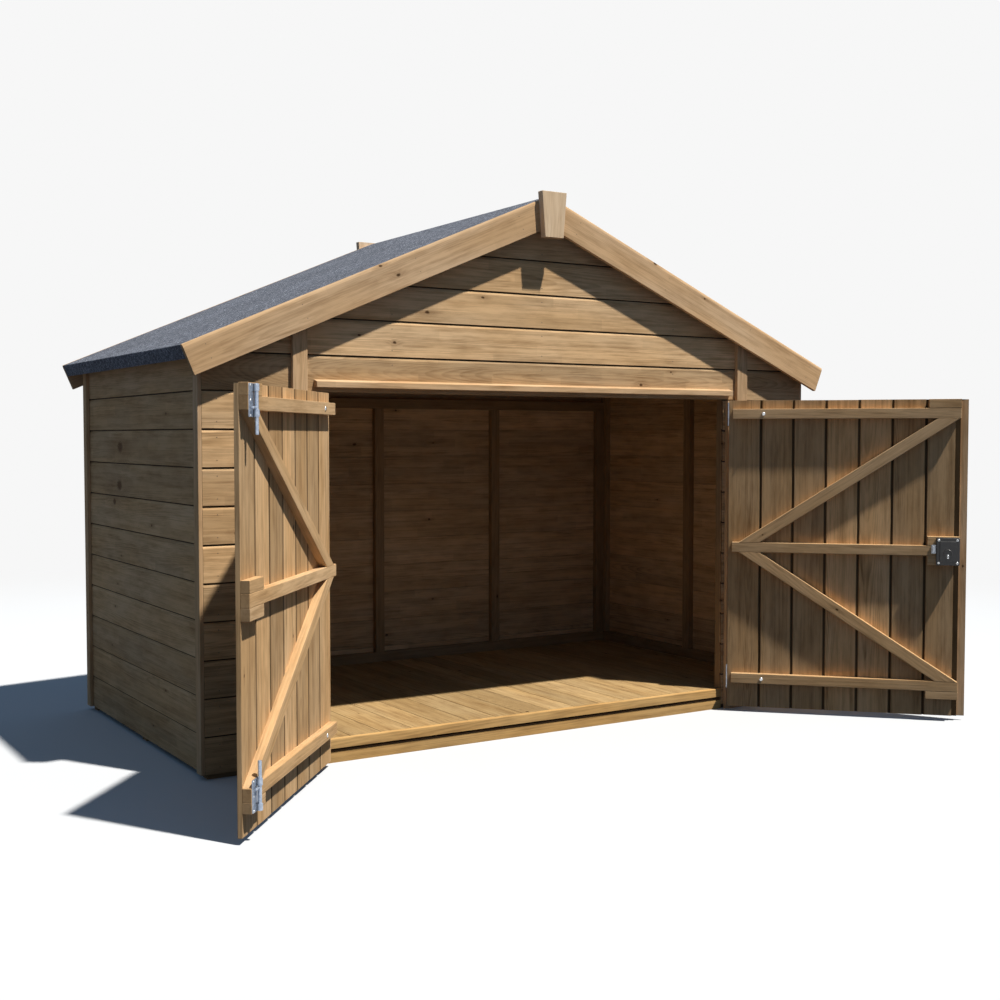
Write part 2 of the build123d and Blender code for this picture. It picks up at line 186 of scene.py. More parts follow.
def newMaterial(name):
    # an empty material, and the signal that its nodes are added from
    material = bpy.data.materials.new(name)
    material.use_nodes = True
    tree = material.node_tree
    tree.nodes.clear()
    return material, Signal(tree)


def shadeWith(start, colour, rough, bump, plain):
    # plain holds the sockets that have one value all over the surface
    inputs = {"Base Color": colour, "Roughness": rough, "Normal": bump, **plain}
    shader = start.add("ShaderNodeBsdfPrincipled", {}, inputs)
    start.add("ShaderNodeOutputMaterial", {}, {"Surface": shader})


# Timber. Three vectors of each board carry its own figure: grain is (length, across, out) in
# metres from the board's middle, heart is (across, out, tilt) of the tree's middle, and stamp
# is (tone, seed, bend). Two knots stand at (length, across, radius). cut is 1 on sawn ends and
# joint is 1 down in the grooves, which painted shade darkens. Steel reads joint as painted
# shade in the corners of its staples and as a plain darkening of its flat parts.
timberLooks = {
    "claddingTimber": {"light": (0.700, 0.470, 0.258), "dark": (0.270, 0.150, 0.064),
                       "ring": 0.0034, "figure": 0.34, "patch": 0.095, "spread": 0.16},
    "doorTimber": {"light": (0.690, 0.450, 0.236), "dark": (0.250, 0.138, 0.058),
                   "ring": 0.0032, "figure": 0.34, "patch": 0.0, "spread": 0.22},
    "ledgeTimber": {"light": (0.700, 0.460, 0.244), "dark": (0.320, 0.180, 0.078),
                    "ring": 0.0034, "figure": 0.26, "patch": 0.03, "spread": 0.08},
    "trimTimber": {"light": (0.710, 0.478, 0.276), "dark": (0.340, 0.196, 0.092),
                   "ring": 0.0036, "figure": 0.24, "patch": 0.05, "spread": 0.08},
    "frameTimber": {"light": (0.370, 0.240, 0.128), "dark": (0.180, 0.102, 0.048),
                    "ring": 0.0038, "figure": 0.30, "patch": 0.0, "spread": 0.12},
    "floorTimber": {"light": (0.490, 0.332, 0.158), "dark": (0.200, 0.110, 0.044),
                    "ring": 0.0036, "figure": 0.34, "patch": 0.03, "spread": 0.17},
    "edgeTimber": {"light": (0.680, 0.412, 0.160), "dark": (0.270, 0.145, 0.054),
                   "ring": 0.0036, "figure": 0.30, "patch": 0.02, "spread": 0.10},
    "keyTimber": {"light": (0.850, 0.660, 0.465), "dark": (0.520, 0.350, 0.205),
                  "ring": 0.0036, "figure": 0.22, "patch": 0.0, "spread": 0.06},
}

# What all timbers share.
timber = {
    "wander": (0.9, 4.0, 1.0, 0.5),  # patterns: cycles per metre along and across the board,
    "ripple": (5.0, 30.0, 2.0, 0.5),  # detail and roughness
    "fibre": (14.0, 520.0, 3.0, 0.65),
    "streak": (2.6, 95.0, 3.0, 0.6),
    "blotch": (6.5, 30.0, 3.0, 0.6),
    "drift": (1.7, 8.0, 2.0, 0.5),
    "wanderBy": 0.014,  # metres that a pattern moves the rings
    "rippleBy": 0.0030,
    "streakShare": 1.25,  # how much of the figure a pattern makes
    "fibreShare": 0.85,
    "blotchShare": 1.20,
    "base": 0.13,  # figure where all the patterns are level
    "warm": (1.03, 1.0, 0.95),  # tints of the drift's two ends
    "cool": (0.94, 0.98, 1.05),
    "knot": ((0.060, 0.029, 0.013), 0.92),
    "knotShadow": ((0.20, 0.100, 0.040), 0.32),
    "sawn": ((0.24, 0.140, 0.070), 0.45),
    # painted shade: how dark the deepest part of a joint is
    "jointDark": 0.88,
    "rough": 0.72,
    "specular": 0.03,
    "bump": (0.55, 0.0006),  # strength, and depth in metres
}


def addKnot(start, which, place):
    # place is (length, across, shift): gives how far rings bend, the core and its dark surround;
    # the bend falls off as exp(-reach * reach / 5), with reach in radii of the knot
    length, across, shift = place
    knotLength, knotAcross, knotSize = parts(attribute(start, which))
    size = knotSize + 0.00001
    ragged = cloud(joined(length * 130.0 + shift, across * 190.0, 2.0), 1.0, 3.0) - 0.5
    along = (length - knotLength) / size * 0.62
    aside = (across - knotAcross) / size
    reach = (along * along + aside * aside) ** 0.5 + ragged * 0.9
    bent = maths("EXPONENT", reach * reach * -0.20) * knotSize * 1.1
    core = between(reach, 0.45, 1.15, 1.0, 0.0)
    flare = along * 0.36
    shadow = between((flare * flare + aside * aside) ** 0.5 + ragged * 0.8, 0.7, 2.4, 1.0, 0.0)
    return bent, core, shadow * between(knotSize, 0.0005, 0.002)


def makeTimber(name, look):
    # rings are circles round a tilted and bent line beside the board: late wood is the last
    # part of each ring, and fibres, streaks and blotches are soft noise drawn out along it
    material, start = newMaterial(name)
    length, across, out = parts(attribute(start, "grain"))
    heartAcross, heartOut, tilt = parts(attribute(start, "heart"))
    tone, seed, bend = parts(attribute(start, "stamp"))
    shift = seed * 53.0
    place = (length, across, shift)
    push, knot, shadow = addKnot(start, "knotOne", place)
    more, other, dusk = addKnot(start, "knotTwo", place)
    push = push + more
    knot = maths("MAXIMUM", knot, other)
    shadow = maths("MAXIMUM", shadow, dusk)

    def drifting(pattern):
        # soft noise round 0, drawn out along the board
        along, aside, detail, rough = timber[pattern]
        spot = joined(length * along + shift, across * aside, out * aside)
        return cloud(spot, 1.0, detail, rough) - 0.5

    def stained(colour, mask, stain):
        # the colour gives way to the stain's shade by its share of the mask
        shade, share = timber[stain]
        return tinted(mask * share, colour, shade)

    # growth rings round the tree's wandering middle
    ringAcross = across - heartAcross
    ringOut = out - heartOut + tilt * length + bend * length * length
    radius = (ringAcross * ringAcross + ringOut * ringOut) ** 0.5
    radius = radius + drifting("wander") * timber["wanderBy"] + drifting("ripple") * timber["rippleBy"]
    radius = radius + push
    turn = maths("FRACT", radius / look["ring"])
    late = between(turn, 0.18, 0.84) * between(turn, 0.88, 1.0, 1.0, 0.0)
    uneven = cloud(joined(length * 1.3 + shift, radius * 90.0, 3.0), 1.0, 1.0)
    late = late * between(uneven, 0.25, 0.75, 0.30, 1.0)
    fibre = drifting("fibre")
    drift = drifting("drift")
    # lengths that are finger-jointed: strips across, each cut at its own places
    row = maths("FLOOR", across * 27.0 + seed * 7.0)
    lot = maths("FLOOR", length * 3.3 + row * 0.37 + seed * 31.0)
    patch = dice(joined(lot, row, seed * 91.0))
    figure = late * look["figure"] + drifting("streak") * timber["streakShare"]
    figure = figure + fibre * timber["fibreShare"] + drifting("blotch") * timber["blotchShare"]
    figure = maths("MINIMUM", maths("MAXIMUM", figure + timber["base"], 0.0), 1.0)
    colour = tinted(figure, look["light"], look["dark"])
    warmth = tinted(between(drift, -0.2, 0.2), timber["warm"], timber["cool"])
    colour = tinted(1.0, colour, warmth, "MULTIPLY")
    level = 1.0 + (tone - 0.5) * (2 * look["spread"]) + (patch - 0.5) * (2 * look["patch"])
    colour = brighter(colour, level * between(drift, -0.3, 0.3, 0.90, 1.10))
    colour = stained(colour, shadow, "knotShadow")
    colour = stained(colour, knot, "knot")
    colour = stained(colour, attribute(start, "cut", 2), "sawn")
    # painted shade: darker down in the joints, by each point's joint share
    colour = brighter(colour, 1.0 - attribute(start, "joint", 2) * timber["jointDark"])
    rough = timber["rough"] + late * -0.08 + fibre * 0.14
    bump = bumped(late * 0.35 + fibre * 0.65 - knot * 0.2, *timber["bump"])
    shadeWith(start, colour, rough, bump, {"Specular IOR Level": timber["specular"]})
    return material


feltLook = {
    "stops": [
        (0.20, (0.028, 0.032, 0.042)), (0.45, (0.086, 0.096, 0.122)),
        (0.64, (0.165, 0.182, 0.226)), (0.82, (0.440, 0.470, 0.545)),
    ],
    "granules": 480.0,  # per metre
    "clumps": 150.0,
    "rough": 0.86,
    "specular": 0.1,
    "bump": (0.5, 0.0009),
}


def makeMineral(name):
    # mineral-faced felt: slate granules on bitumen, a touch lighter where rain has washed it
    material, start = newMaterial(name)
    place = objectPlace(start)
    fine = cloud(place, 900.0)
    shade = grains(place, feltLook["granules"]) * 0.42 + grains(place, feltLook["clumps"]) * 0.32
    shade = shade + fine * 0.26
    colour = shade.add("ShaderNodeValToRGB", {"stops": feltLook["stops"]}, {0: shade})
    colour = brighter(colour, between(cloud(place, 3.0, 3.0), 0.3, 0.7, 0.90, 1.10))
    shadeWith(start, colour, feltLook["rough"] + fine * 0.1, bumped(shade, *feltLook["bump"]),
              {"Specular IOR Level": feltLook["specular"]})
    return material


steelLooks = {
    "zincSteel": {"light": (0.60, 0.67, 0.78), "dark": (0.34, 0.41, 0.53),
                  "rough": 0.40, "metal": 0.70},
    "screwSteel": {"light": (0.74, 0.76, 0.78), "dark": (0.52, 0.55, 0.58),
                   "rough": 0.30, "metal": 0.9},
    "greySteel": {"light": (0.42, 0.45, 0.50), "dark": (0.27, 0.30, 0.34),
                  "rough": 0.42, "metal": 0.8},
    "nailSteel": {"light": (0.260, 0.190, 0.125), "dark": (0.150, 0.110, 0.075),
                  "rough": 0.60, "metal": 0.2},
}
steelShadeAndDark = 0.85  # how dark steel is at a full share: painted shade in staple corners, a plain darkening elsewhere


def makeSteel(name, look):
    # zinc coat with a faint spangle, duller in places and darker where joint says so: painted shade in
    # staple corners, a plain darkening on flat parts
    material, start = newMaterial(name)
    place = objectPlace(start)
    spangle = grains(place, 190.0)
    dull = cloud(place, 45.0, 3.0)
    colour = tinted(spangle * 0.6 + dull * 0.4, look["dark"], look["light"])
    # painted shade in staple corners, and a plain darkening of flat parts
    colour = brighter(colour, 1.0 - attribute(start, "joint", 2) * steelShadeAndDark)
    rough = look["rough"] + (spangle - 0.5) * 0.12 + (dull - 0.5) * 0.16
    bump = bumped(spangle * 0.4 + cloud(place, 600.0) * 0.6, 0.2, 0.0002)
    shadeWith(start, colour, rough, bump, {"Metallic": look["metal"]})
    return material


enamelLooks = {
    "blackEnamel": {"light": (0.012, 0.012, 0.014), "dusty": (0.030, 0.029, 0.028), "rough": 0.34},
    # painted shade: near-black inlays where recesses, holes and slits would look dark
    "darkRecess": {"light": (0.006, 0.006, 0.006), "dusty": (0.012, 0.011, 0.010), "rough": 0.7},
}


def makeEnamel(name, look):
    # black enamel with a fine orange-peel and a dusty bloom, also used for the near-black inlays of
    # painted recess shade
    material, start = newMaterial(name)
    place = objectPlace(start)
    peel = cloud(place, 900.0, 1.0)
    dust = cloud(place, 60.0, 3.0)
    colour = tinted(between(dust, 0.45, 0.8), look["light"], look["dusty"])
    shadeWith(start, colour, look["rough"] + dust * 0.12, bumped(peel, 0.25, 0.0002), {})
    return material


finishes = {"slateFelt": makeMineral("slateFelt")}
for maker, looks in ((makeTimber, timberLooks), (makeSteel, steelLooks), (makeEnamel, enamelLooks)):
    for name, look in looks.items():
        finishes[name] = maker(name, look)
print("materials made", len(finishes))


# ---- shapes: every solid is a loft of rings, closed at both ends

figureNames = ("grain", "heart", "stamp", "knotOne", "knotTwo")
# cut marks sawn ends; joint holds each point's share of painted shade, and on flat steel a plain
# darkening
shareNames = ("cut", "joint")


def newStack():
    # the lofts of one piece, with what its material reads at each point
    stack = {key: [] for key in ("points", "quads", "caps", *shareNames, *figureNames)}
    stack["count"] = 0
    return stack


def addLoft(stack, rings, figure=None):
    # rings is K x N x 3: a quad between each two neighbours, and one face over each end
    ringCount, size = rings.shape[:2]
    index = np.arange(ringCount * size).reshape(ringCount, size)
    low = index[:-1]
    high = index[1:]
    quads = np.stack([low, np.roll(low, -1, 1), np.roll(high, -1, 1), high], -1).reshape(-1, 4)
    points = rings.reshape(-1, 3)
    corner = points[quads] - points.mean(0)
    volume = (np.einsum("ij,ij->i", corner[:, 0], np.cross(corner[:, 1], corner[:, 2]))
              + np.einsum("ij,ij->i", corner[:, 0], np.cross(corner[:, 2], corner[:, 3]))).sum()
    caps = [index[0][::-1], index[-1]]
    for cap in caps:
        spot = points[cap] - points.mean(0)
        fan = np.cross(spot[1:-1], spot[2:])
        volume += (fan @ spot[0]).sum()
    if volume < 0:
        quads = quads[:, ::-1]
        caps = [cap[::-1] for cap in caps]
    base = stack["count"]
    stack["points"].append(points)
    stack["quads"].append(quads + base)
    stack["caps"] += [(cap + base).tolist() for cap in caps]
    stack["count"] += len(points)
    figure = figure or {}
    for name in figureNames:
        stack[name].append(np.broadcast_to(figure.get(name, np.zeros(3)), points.shape))
    for name in shareNames:
        stack[name].append(np.broadcast_to(figure.get(name, np.zeros(1)), (len(points),)))


def flattenFaces(piece):
    # each corner's normal leans to its largest face, so only the eased edges look round
    change = piece.modifiers.new("flatFaces", "WEIGHTED_NORMAL")
    change.keep_sharp = True


def meshOf(name, stack, turn=None):
    # one mesh from all the lofts of a stack, moved by turn
    points = np.concatenate(stack["points"])
    if turn is not None:
        points = points @ turn[:3, :3].T + turn[:3, 3]
    mesh = bpy.data.meshes.new(name)
    faces = np.concatenate(stack["quads"]).tolist() + stack["caps"]
    mesh.from_pydata(points.tolist(), [], faces)
    return mesh


def inScene(name, data):
    # a new object of this mesh, light or camera
    piece = bpy.data.objects.new(name, data)
    bpy.context.scene.collection.objects.link(piece)
    return piece


def finishPiece(name, stack, finish, node=None, body="shed", turn=None, smooth=35):
    # node is the CAD node that the piece replaces, and edges over smooth degrees stay sharp
    mesh = meshOf(name, stack, turn)
    for key in figureNames:
        layer = mesh.attributes.new(key, "FLOAT_VECTOR", "POINT")
        layer.data.foreach_set("vector", np.concatenate(stack[key]).astype(np.float32).ravel())
    for key in shareNames:
        layer = mesh.attributes.new(key, "FLOAT", "POINT")
        layer.data.foreach_set("value", np.concatenate(stack[key]).astype(np.float32))
    mesh.polygons.foreach_set("use_smooth", np.ones(len(mesh.polygons), bool))
    mesh.set_sharp_from_angle(angle=math.radians(smooth))
    mesh.materials.append(finishes[finish])
    mesh.update()
    piece = inScene(name, mesh)
    flattenFaces(piece)
    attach(piece, body)
    if node:
        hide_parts(node)
    return piece


def rounded(corners, radius, steps=3):
    # each corner of an outline gives way to a short curve from one side to the next
    corners = np.asarray(corners, float)
    radius = np.broadcast_to(np.asarray(radius, float), (len(corners),))[:, None]
    apart = np.linalg.norm(corners - np.roll(corners, 1, 0), axis=1) > 1e-6
    corners = corners[apart]
    radius = radius[apart]
    before = np.roll(corners, 1, 0) - corners
    after = np.roll(corners, -1, 0) - corners
    first = corners + before / np.linalg.norm(before, axis=1, keepdims=True) * radius
    last = corners + after / np.linalg.norm(after, axis=1, keepdims=True) * radius
    share = np.linspace(0, 1, steps)[None, :, None]
    curve = ((1 - share) ** 2 * first[:, None] + 2 * share * (1 - share) * corners[:, None]
             + share ** 2 * last[:, None]).reshape(-1, 2)
    gap = np.linalg.norm(curve - np.roll(curve, 1, 0), axis=1)
    return curve[gap > 1e-6]


def shrunk(outline, inset):
    # every side of an outline moved inwards by the same amount
    side = np.roll(outline, -1, 0) - outline
    side = side / np.linalg.norm(side, axis=1, keepdims=True)
    turned = np.stack([-side[:, 1], side[:, 0]], 1)
    area = (outline[:, 0] * np.roll(outline[:, 1], -1) - outline[:, 1] * np.roll(outline[:, 0], -1))
    turned = turned * (1 if area.sum() > 0 else -1)
    both = turned + np.roll(turned, 1, 0)
    spread = np.maximum((both * both).sum(1, keepdims=True), 0.6)
    return outline + both * (2 * inset / spread)


def clipped(outline, limit):
    # the part of an outline below a limit of its first coordinate
    after = np.roll(outline, -1, 0)
    kept = []
    for here, there in zip(outline, after):
        if here[0] <= limit:
            kept.append(here)
        if (here[0] - limit) * (there[0] - limit) < 0:
            share = (limit - here[0]) / (there[0] - here[0])
            kept.append(here + share * (there - here))
    return np.array(kept)


def figureOf(chance, width, knotShare, tone=None):
    # one board's place in its tree, its tone and its knots, all by chance unless tone is given
    draw = chance.random(16)
    return {
        "heart": np.array([width * (draw[0] * 1.7 - 0.35), -0.010 - 0.075 * draw[1] ** 1.5,
                           (draw[2] - 0.5) * 0.050]),
        "stamp": np.array([draw[3] if tone is None else tone, draw[4], (draw[5] - 0.5) * 0.055]),
        "knotOne": np.array([(draw[6] - 0.5) * 0.9, width * (0.15 + 0.7 * draw[7]),
                             (0.003 + 0.004 * draw[8]) * (draw[9] < knotShare)]),
        "knotTwo": np.array([(draw[10] - 0.5) * 1.1, width * (0.15 + 0.7 * draw[11]),
                             (0.002 + 0.003 * draw[12]) * (draw[13] < knotShare)]),
    }


def addBoard(stack, section, origin, along, across, out, start, end, figure, ease=0.0007,
             paintedShade=None):
    # the section, in (across, out), runs along a straight line between two cut ends;
    # each end is a length, or a function of (across, out) that gives the cut's slant;
    # the last argument gives each point of the section its share of painted shade, from 0 to 1
    section = np.asarray(section, float)
    inner = shrunk(section, ease)
    axes = np.array([along, across, out], float)

    def reach(end, outline):
        if callable(end):
            return end(outline[:, 0], outline[:, 1])
        return np.full(len(outline), float(end))

    low = reach(start, section)
    high = reach(end, section)
    lengths = [reach(start, inner), low + ease, high - ease, reach(end, inner)]
    outlines = [inner, section, section, inner]
    local = np.stack([
        np.column_stack([length, outline]) for length, outline in zip(lengths, outlines)
    ])
    middle = (low.mean() + high.mean()) / 2
    rings = np.asarray(origin, float) + local @ axes
    grain = (local - [middle, 0, 0]).reshape(-1, 3)
    cut = np.zeros(local.shape[:2])
    cut[[0, -1]] = 1
    # share of painted shade at each point of the section, none unless given
    deep = np.zeros(len(section))
    if paintedShade:
        deep = deep + paintedShade(section[:, 0], section[:, 1])
    addLoft(stack, rings, {**figure, "grain": grain, "cut": cut.ravel(), "joint": np.tile(deep, 4)})


def planed(width, thickness, ease):
    # a board's section: its corners in (across, out), each rounded by ease
    return rounded([(0, 0), (width, 0), (width, thickness), (0, thickness)], ease)


def plateOutline(halfWide, halfTall, radius, steps):
    # a rectangle round the middle, its corners rounded
    return rounded([(-halfWide, -halfTall), (halfWide, -halfTall), (halfWide, halfTall),
                    (-halfWide, halfTall)], radius, steps)


def solidBoxes(node, turn=None):
    # lowest and highest corner of each solid in a CAD node, welded and followed edge by edge
    mesh = frame["nodes"][node].data
    points = np.zeros(len(mesh.vertices) * 3)
    mesh.vertices.foreach_get("co", points)
    points = points.reshape(-1, 3)
    mesh.calc_loop_triangles()
    triangles = np.zeros(len(mesh.loop_triangles) * 3, int)
    mesh.loop_triangles.foreach_get("vertices", triangles)
    spots, weld = np.unique(np.round(points, 5), axis=0, return_inverse=True)
    triangles = weld.ravel()[triangles].reshape(-1, 3)
    label = np.arange(len(spots))
    while True:
        low = label[triangles].min(1)
        after = label.copy()
        np.minimum.at(after, triangles.ravel(), np.repeat(low, 3))
        if (after == label).all():
            break
        label = after
    if turn is not None:
        back = np.linalg.inv(turn)
        spots = spots @ back[:3, :3].T + back[:3, 3]
    groups = [spots[label == k] for k in np.unique(label)]
    return [(group.min(0), group.max(0)) for group in groups]


def jointOf(name):
    # a joint's entry in the frame
    return [joint for joint in frame["joints"] if joint["name"] == name][0]


def restTurn(jointName):
    # carries a door that is drawn closed to where the CAD door stands
    joint = jointOf(jointName)
    spot = joint["pos_m"]
    angle = -math.radians(joint["range_deg"][0])
    turn = (Matrix.Translation(spot) @ Matrix.Rotation(angle, 4, joint["axis"])
            @ Matrix.Translation([-value for value in spot]))
    return np.array(turn)


def boltLine():
    # x and y of both tower bolts while the left door is closed; a bar is as deep as it is wide
    low, high = solidBoxes("top_bolt", restTurn("left_door_hinge"))[0]
    return low[0] + (high[1] - low[1]) / 2, (low[1] + high[1]) / 2


def timbersOf(node):
    # wall_studs gives wall_stud_timbers
    return node[:-1] + "_timbers" if node.endswith("s") else node + "_timber"


def addStick(stack, low, high, chance, ease, knotShare):
    # the grain runs along the box's longest side
    size = high - low
    order = np.argsort(-size)
    long, wide, deep = size[order]
    addBoard(stack, planed(wide, deep, ease), low, *np.eye(3)[order], 0.0, long,
             figureOf(chance, wide, knotShare))


def makeSticks(node, finish, chance, ease, knotShare, name=None, body="shed", turn=None):
    # each solid of a CAD node as a planed timber
    stack = newStack()
    for low, high in solidBoxes(node, turn):
        addStick(stack, low, high, chance, ease, knotShare)
    return finishPiece(name or timbersOf(node), stack, finish, node, body, turn)


def addTurned(stack, profile, origin, axis, sides=16):
    # a profile of (radius, height) turned round an axis
    profile = np.asarray(profile, float)
    axis = np.asarray(axis, float)
    helper = np.array([0.0, 0.0, 1.0]) if abs(axis[2]) < 0.9 else np.array([1.0, 0.0, 0.0])
    side = np.cross(axis, helper)
    side = side / np.linalg.norm(side)
    other = np.cross(axis, side)
    angle = np.linspace(0, 2 * math.pi, sides, endpoint=False)
    circle = np.cos(angle)[:, None] * side + np.sin(angle)[:, None] * other
    rings = profile[:, 0, None, None] * circle + profile[:, 1, None, None] * axis
    addLoft(stack, rings + np.asarray(origin, float))


def addPlate(stack, outline, origin, along, across, out, thickness, bevel=0.0004, foot=0.0,
             figure=None):
    # a flat plate from an outline in (along, across), its upper edge bevelled
    axes = np.array([along, across, out], float)
    layers = [(outline, -foot), (outline, thickness - bevel), (shrunk(outline, bevel), thickness)]
    rings = np.stack([
        np.column_stack([shape, np.full(len(shape), height)]) @ axes for shape, height in layers
    ])
    addLoft(stack, rings + np.asarray(origin, float), figure)


def dome(radius, height, rim=0.0):
    # profile of a domed head that stands on its rim
    angle = np.linspace(0, math.pi / 2 * 0.96, 5)
    arc = np.column_stack([radius * np.cos(angle), rim + (height - rim) * np.sin(angle)])
    return np.vstack([[radius, -0.0006], arc])


def barrel(core, radius, start, end, ease=0.0005):
    # profile of a short tube from start to end, its rims eased
    return [(core, start), (radius - ease, start), (radius, start + ease),
            (radius, end - ease), (radius - ease, end), (core, end)]


def ringOutline(radius, sides, middle=(0.0, 0.0)):
    # points round a circle: the middle plus the radius times (cos, sin)
    angle = np.linspace(0, 2 * math.pi, sides, endpoint=False)
    return np.column_stack([middle[0] + radius * np.cos(angle), middle[1] + radius * np.sin(angle)])


def crossOutline(arm, half):
    # a cross with arms of one length: three points of one arm, turned a quarter at a time
    quarter = np.array([(arm, -half), (arm, half), (half, half)])
    turn = np.array([[0.0, 1.0], [-1.0, 0.0]])
    shapes = [quarter]
    for _ in range(3):
        shapes.append(shapes[-1] @ turn)
    return np.vstack(shapes)


def addScrew(heads, recessShades, origin, along, across, out, radius, height):
    # domed head with a cross of painted recess shade on top
    addTurned(heads, dome(radius, height), origin, out, 14)
    top = np.asarray(origin, float) + np.asarray(out, float) * (height - 0.00025)
    addPlate(recessShades, crossOutline(radius * 0.52, radius * 0.11), top, along, across, out,
             0.0003, 0.00005)


def addNails(stack, spots, out, radius=0.0019, height=0.0006):
    # small flat heads, a little proud of the board
    for spot in spots:
        addTurned(stack, [(radius, -0.0006), (radius, height * 0.6), (radius * 0.6, height)],
                  spot, out, 8)


xAxis = np.array([1.0, 0.0, 0.0])
yAxis = np.array([0.0, 1.0, 0.0])
zAxis = np.array([0.0, 0.0, 1.0])


# (along, across, out) of what is seen from outside or inside, and of upright boards
outward = (xAxis, zAxis, -yAxis)
inward = (xAxis, zAxis, yAxis)
upright = (zAxis, xAxis, -yAxis)


# ---- cladding: shiplap boards, with a deep joint and a broad slanted top edge

cladding = {
    "thickness": 0.012,
    "faceTop": 0.1120,  # flat face up to here, then the slanted edge
    "slantTop": 0.1203,
    "slantDepth": 0.0042,
    "tongueTop": 0.1292,
    "tongueThickness": 0.0056,
    "rebate": 0.0056,  # height of the rebate behind the lower edge
    "nailRows": (0.022, 0.096),
    "nailMargin": 0.012,  # no nail nearer than this to a board's end or the wall's top
    "knotShare": 0.45,
    "wallStud": 0.0225,  # from a wall's end to the middle of its last stud
    "panelStuds": (0.05, 0.02),
    "rearStud": 0.062,
}
# knots and figure that stand where the photo has them, for rows of boards counted from below
leftWallRows = {
    8: {"knotOne": (0.221, 0.060, 0.0230)},
    7: {"knotOne": (0.235, 0.040, 0.0220)},
    6: {"knotOne": (0.303, 0.100, 0.0140)},
}
frontGableRows = {
    0: {"heart": (0.070, -0.0240, -0.0200), "stamp": (0.02, 0.31, 0.034),
        "knotOne": (0.466, 0.050, 0.0060), "knotTwo": (0.615, 0.104, 0.0035)},
    1: {"stamp": (1.05, 0.62, 0.004), "knotOne": (-0.615, 0.050, 0.0052),
        "knotTwo": (-0.750, 0.070, 0.0044)},
    2: {"stamp": (0.85, 0.12, -0.006), "knotOne": (-0.485, 0.036, 0.0066),
        "knotTwo": (-0.256, 0.100, 0.0050)},
}


def shiplap(limit):
    # section of one board in (height, out): its face, the slanted edge, the tongue above and
    # the rebate below that laps over the next tongue; only what lies below the limit is kept
    c = cladding
    t = c["thickness"]
    under = c["tongueThickness"] + 0.0004
    outline = rounded([
        (0.0, t), (c["faceTop"], t), (c["slantTop"], t - c["slantDepth"]),
        (c["slantTop"], t - c["slantDepth"] - 0.0008), (c["slantTop"], c["tongueThickness"]),
        (c["tongueTop"], c["tongueThickness"]), (c["tongueTop"], 0.0), (c["rebate"], 0.0),
        (c["rebate"], under), (0.0, under), (0.0, t - 0.0016),
    ], [0.0010, 0.0014, 0.0004, 0, 0, 0.0006, 0.0006, 0.0008, 0, 0.0005, 0], 3)
    return clipped(outline, limit) if limit < c["tongueTop"] else outline


def inJoint(across, out):
    # painted shade on the tongue that shows in the joint and on the board's underside
    tongue = (across > cladding["slantTop"] - 0.0005) & (out < 0.0072)
    return (out > 0.001) & (tongue | ((across < 0.001) & (out < 0.0106)))


def addWall(stack, nails, origin, along, out, foot, top, reach, chance, studs=(), rows=None):
    # boards from foot to top; reach gives how far they run each way from the middle at a
    # height, and rows holds what is given for some of them
    c = cladding
    count = math.ceil((top - foot) / shed["boardCover"] - 0.02)
    for row in range(count):
        level = foot + row * shed["boardCover"]
        section = shiplap(top - level if row == count - 1 else 1.0)
        figure = figureOf(chance, shed["boardCover"], c["knotShare"])
        figure.update((rows or {}).get(row, {}))

        # both ends, each point at its own height
        def start(across, out):
            return -reach(level + across)

        def end(across, out):
            return reach(level + across)

        addBoard(stack, section, origin + zAxis * level, along, zAxis, out, start, end, figure,
                 0.0005, inJoint)
        for stud in studs:
            for height in c["nailRows"]:
                z = level + height
                if z < top - c["nailMargin"] and abs(stud) < reach(z) - c["nailMargin"]:
                    addNails(nails, [origin + along * stud + zAxis * z + out * c["thickness"]], out)


def straight(half):
    # how far a wall runs each way that is as wide at every height
    return lambda z: half + 0 * z


def underRoof(half):
    # how far a gable runs each way: its ends follow the underside of the roof boards
    return lambda z: np.clip((roofZ(0.0, underDrop) - z) / slope, 0.0008, half)


def finishWall(name, stack):
    # takes the place of a wall's cladding node
    finishPiece(name + "_boards", stack, "claddingTimber", name + "_cladding")


def makeCladding():
    # walls from the middle of each node's box, with nails where the studs stand behind
    c = cladding
    nails = newStack()
    for side, name, rows in ((-1, "left_wall", leftWallRows), (1, "right_wall", None)):
        low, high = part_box(name + "_cladding")
        inner = high.x if side < 0 else low.x
        last = high.y - c["wallStud"]
        stack = newStack()
        addWall(stack, nails, np.array([inner, 0, 0]), yAxis, side * xAxis, low.z, high.z,
                straight(high.y), np.random.default_rng(11 if side < 0 else 12),
                (-last, 0.0, last), rows)
        finishWall(name, stack)
    # front panels beside the doorway
    stack = newStack()
    chance = np.random.default_rng(13)
    for low, high in solidBoxes("front_wall_cladding"):
        half = (high[0] - low[0]) / 2
        studs = (c["panelStuds"][0] - half, half - c["panelStuds"][1])
        addWall(stack, nails, np.array([(low[0] + high[0]) / 2, high[1], 0]), xAxis, -yAxis,
                low[2], high[2], straight(half), chance, studs)
    finishWall("front_wall", stack)
    low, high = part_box("rear_wall_cladding")
    stack = newStack()
    studs = np.linspace(-1, 1, 5) * (high.x - c["rearStud"])
    addWall(stack, nails, np.array([0, low.y, 0]), xAxis, yAxis, low.z, high.z, straight(high.x),
            np.random.default_rng(14), studs)
    finishWall("rear_wall", stack)
    for side, name, rows in ((-1, "front_gable", frontGableRows), (1, "rear_gable", None)):
        low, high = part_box(name + "_cladding")
        inner = high.y if side < 0 else low.y
        stack = newStack()
        addWall(stack, nails, np.array([0, inner, 0]), xAxis, side * yAxis, low.z, high.z - 0.0015,
                underRoof(high.x), np.random.default_rng(15 if side < 0 else 16), studs, rows)
        finishWall(name, stack)
    finishPiece("cladding_nails", nails, "nailSteel")


makeCladding()
print("cladding made")


# ---- floor

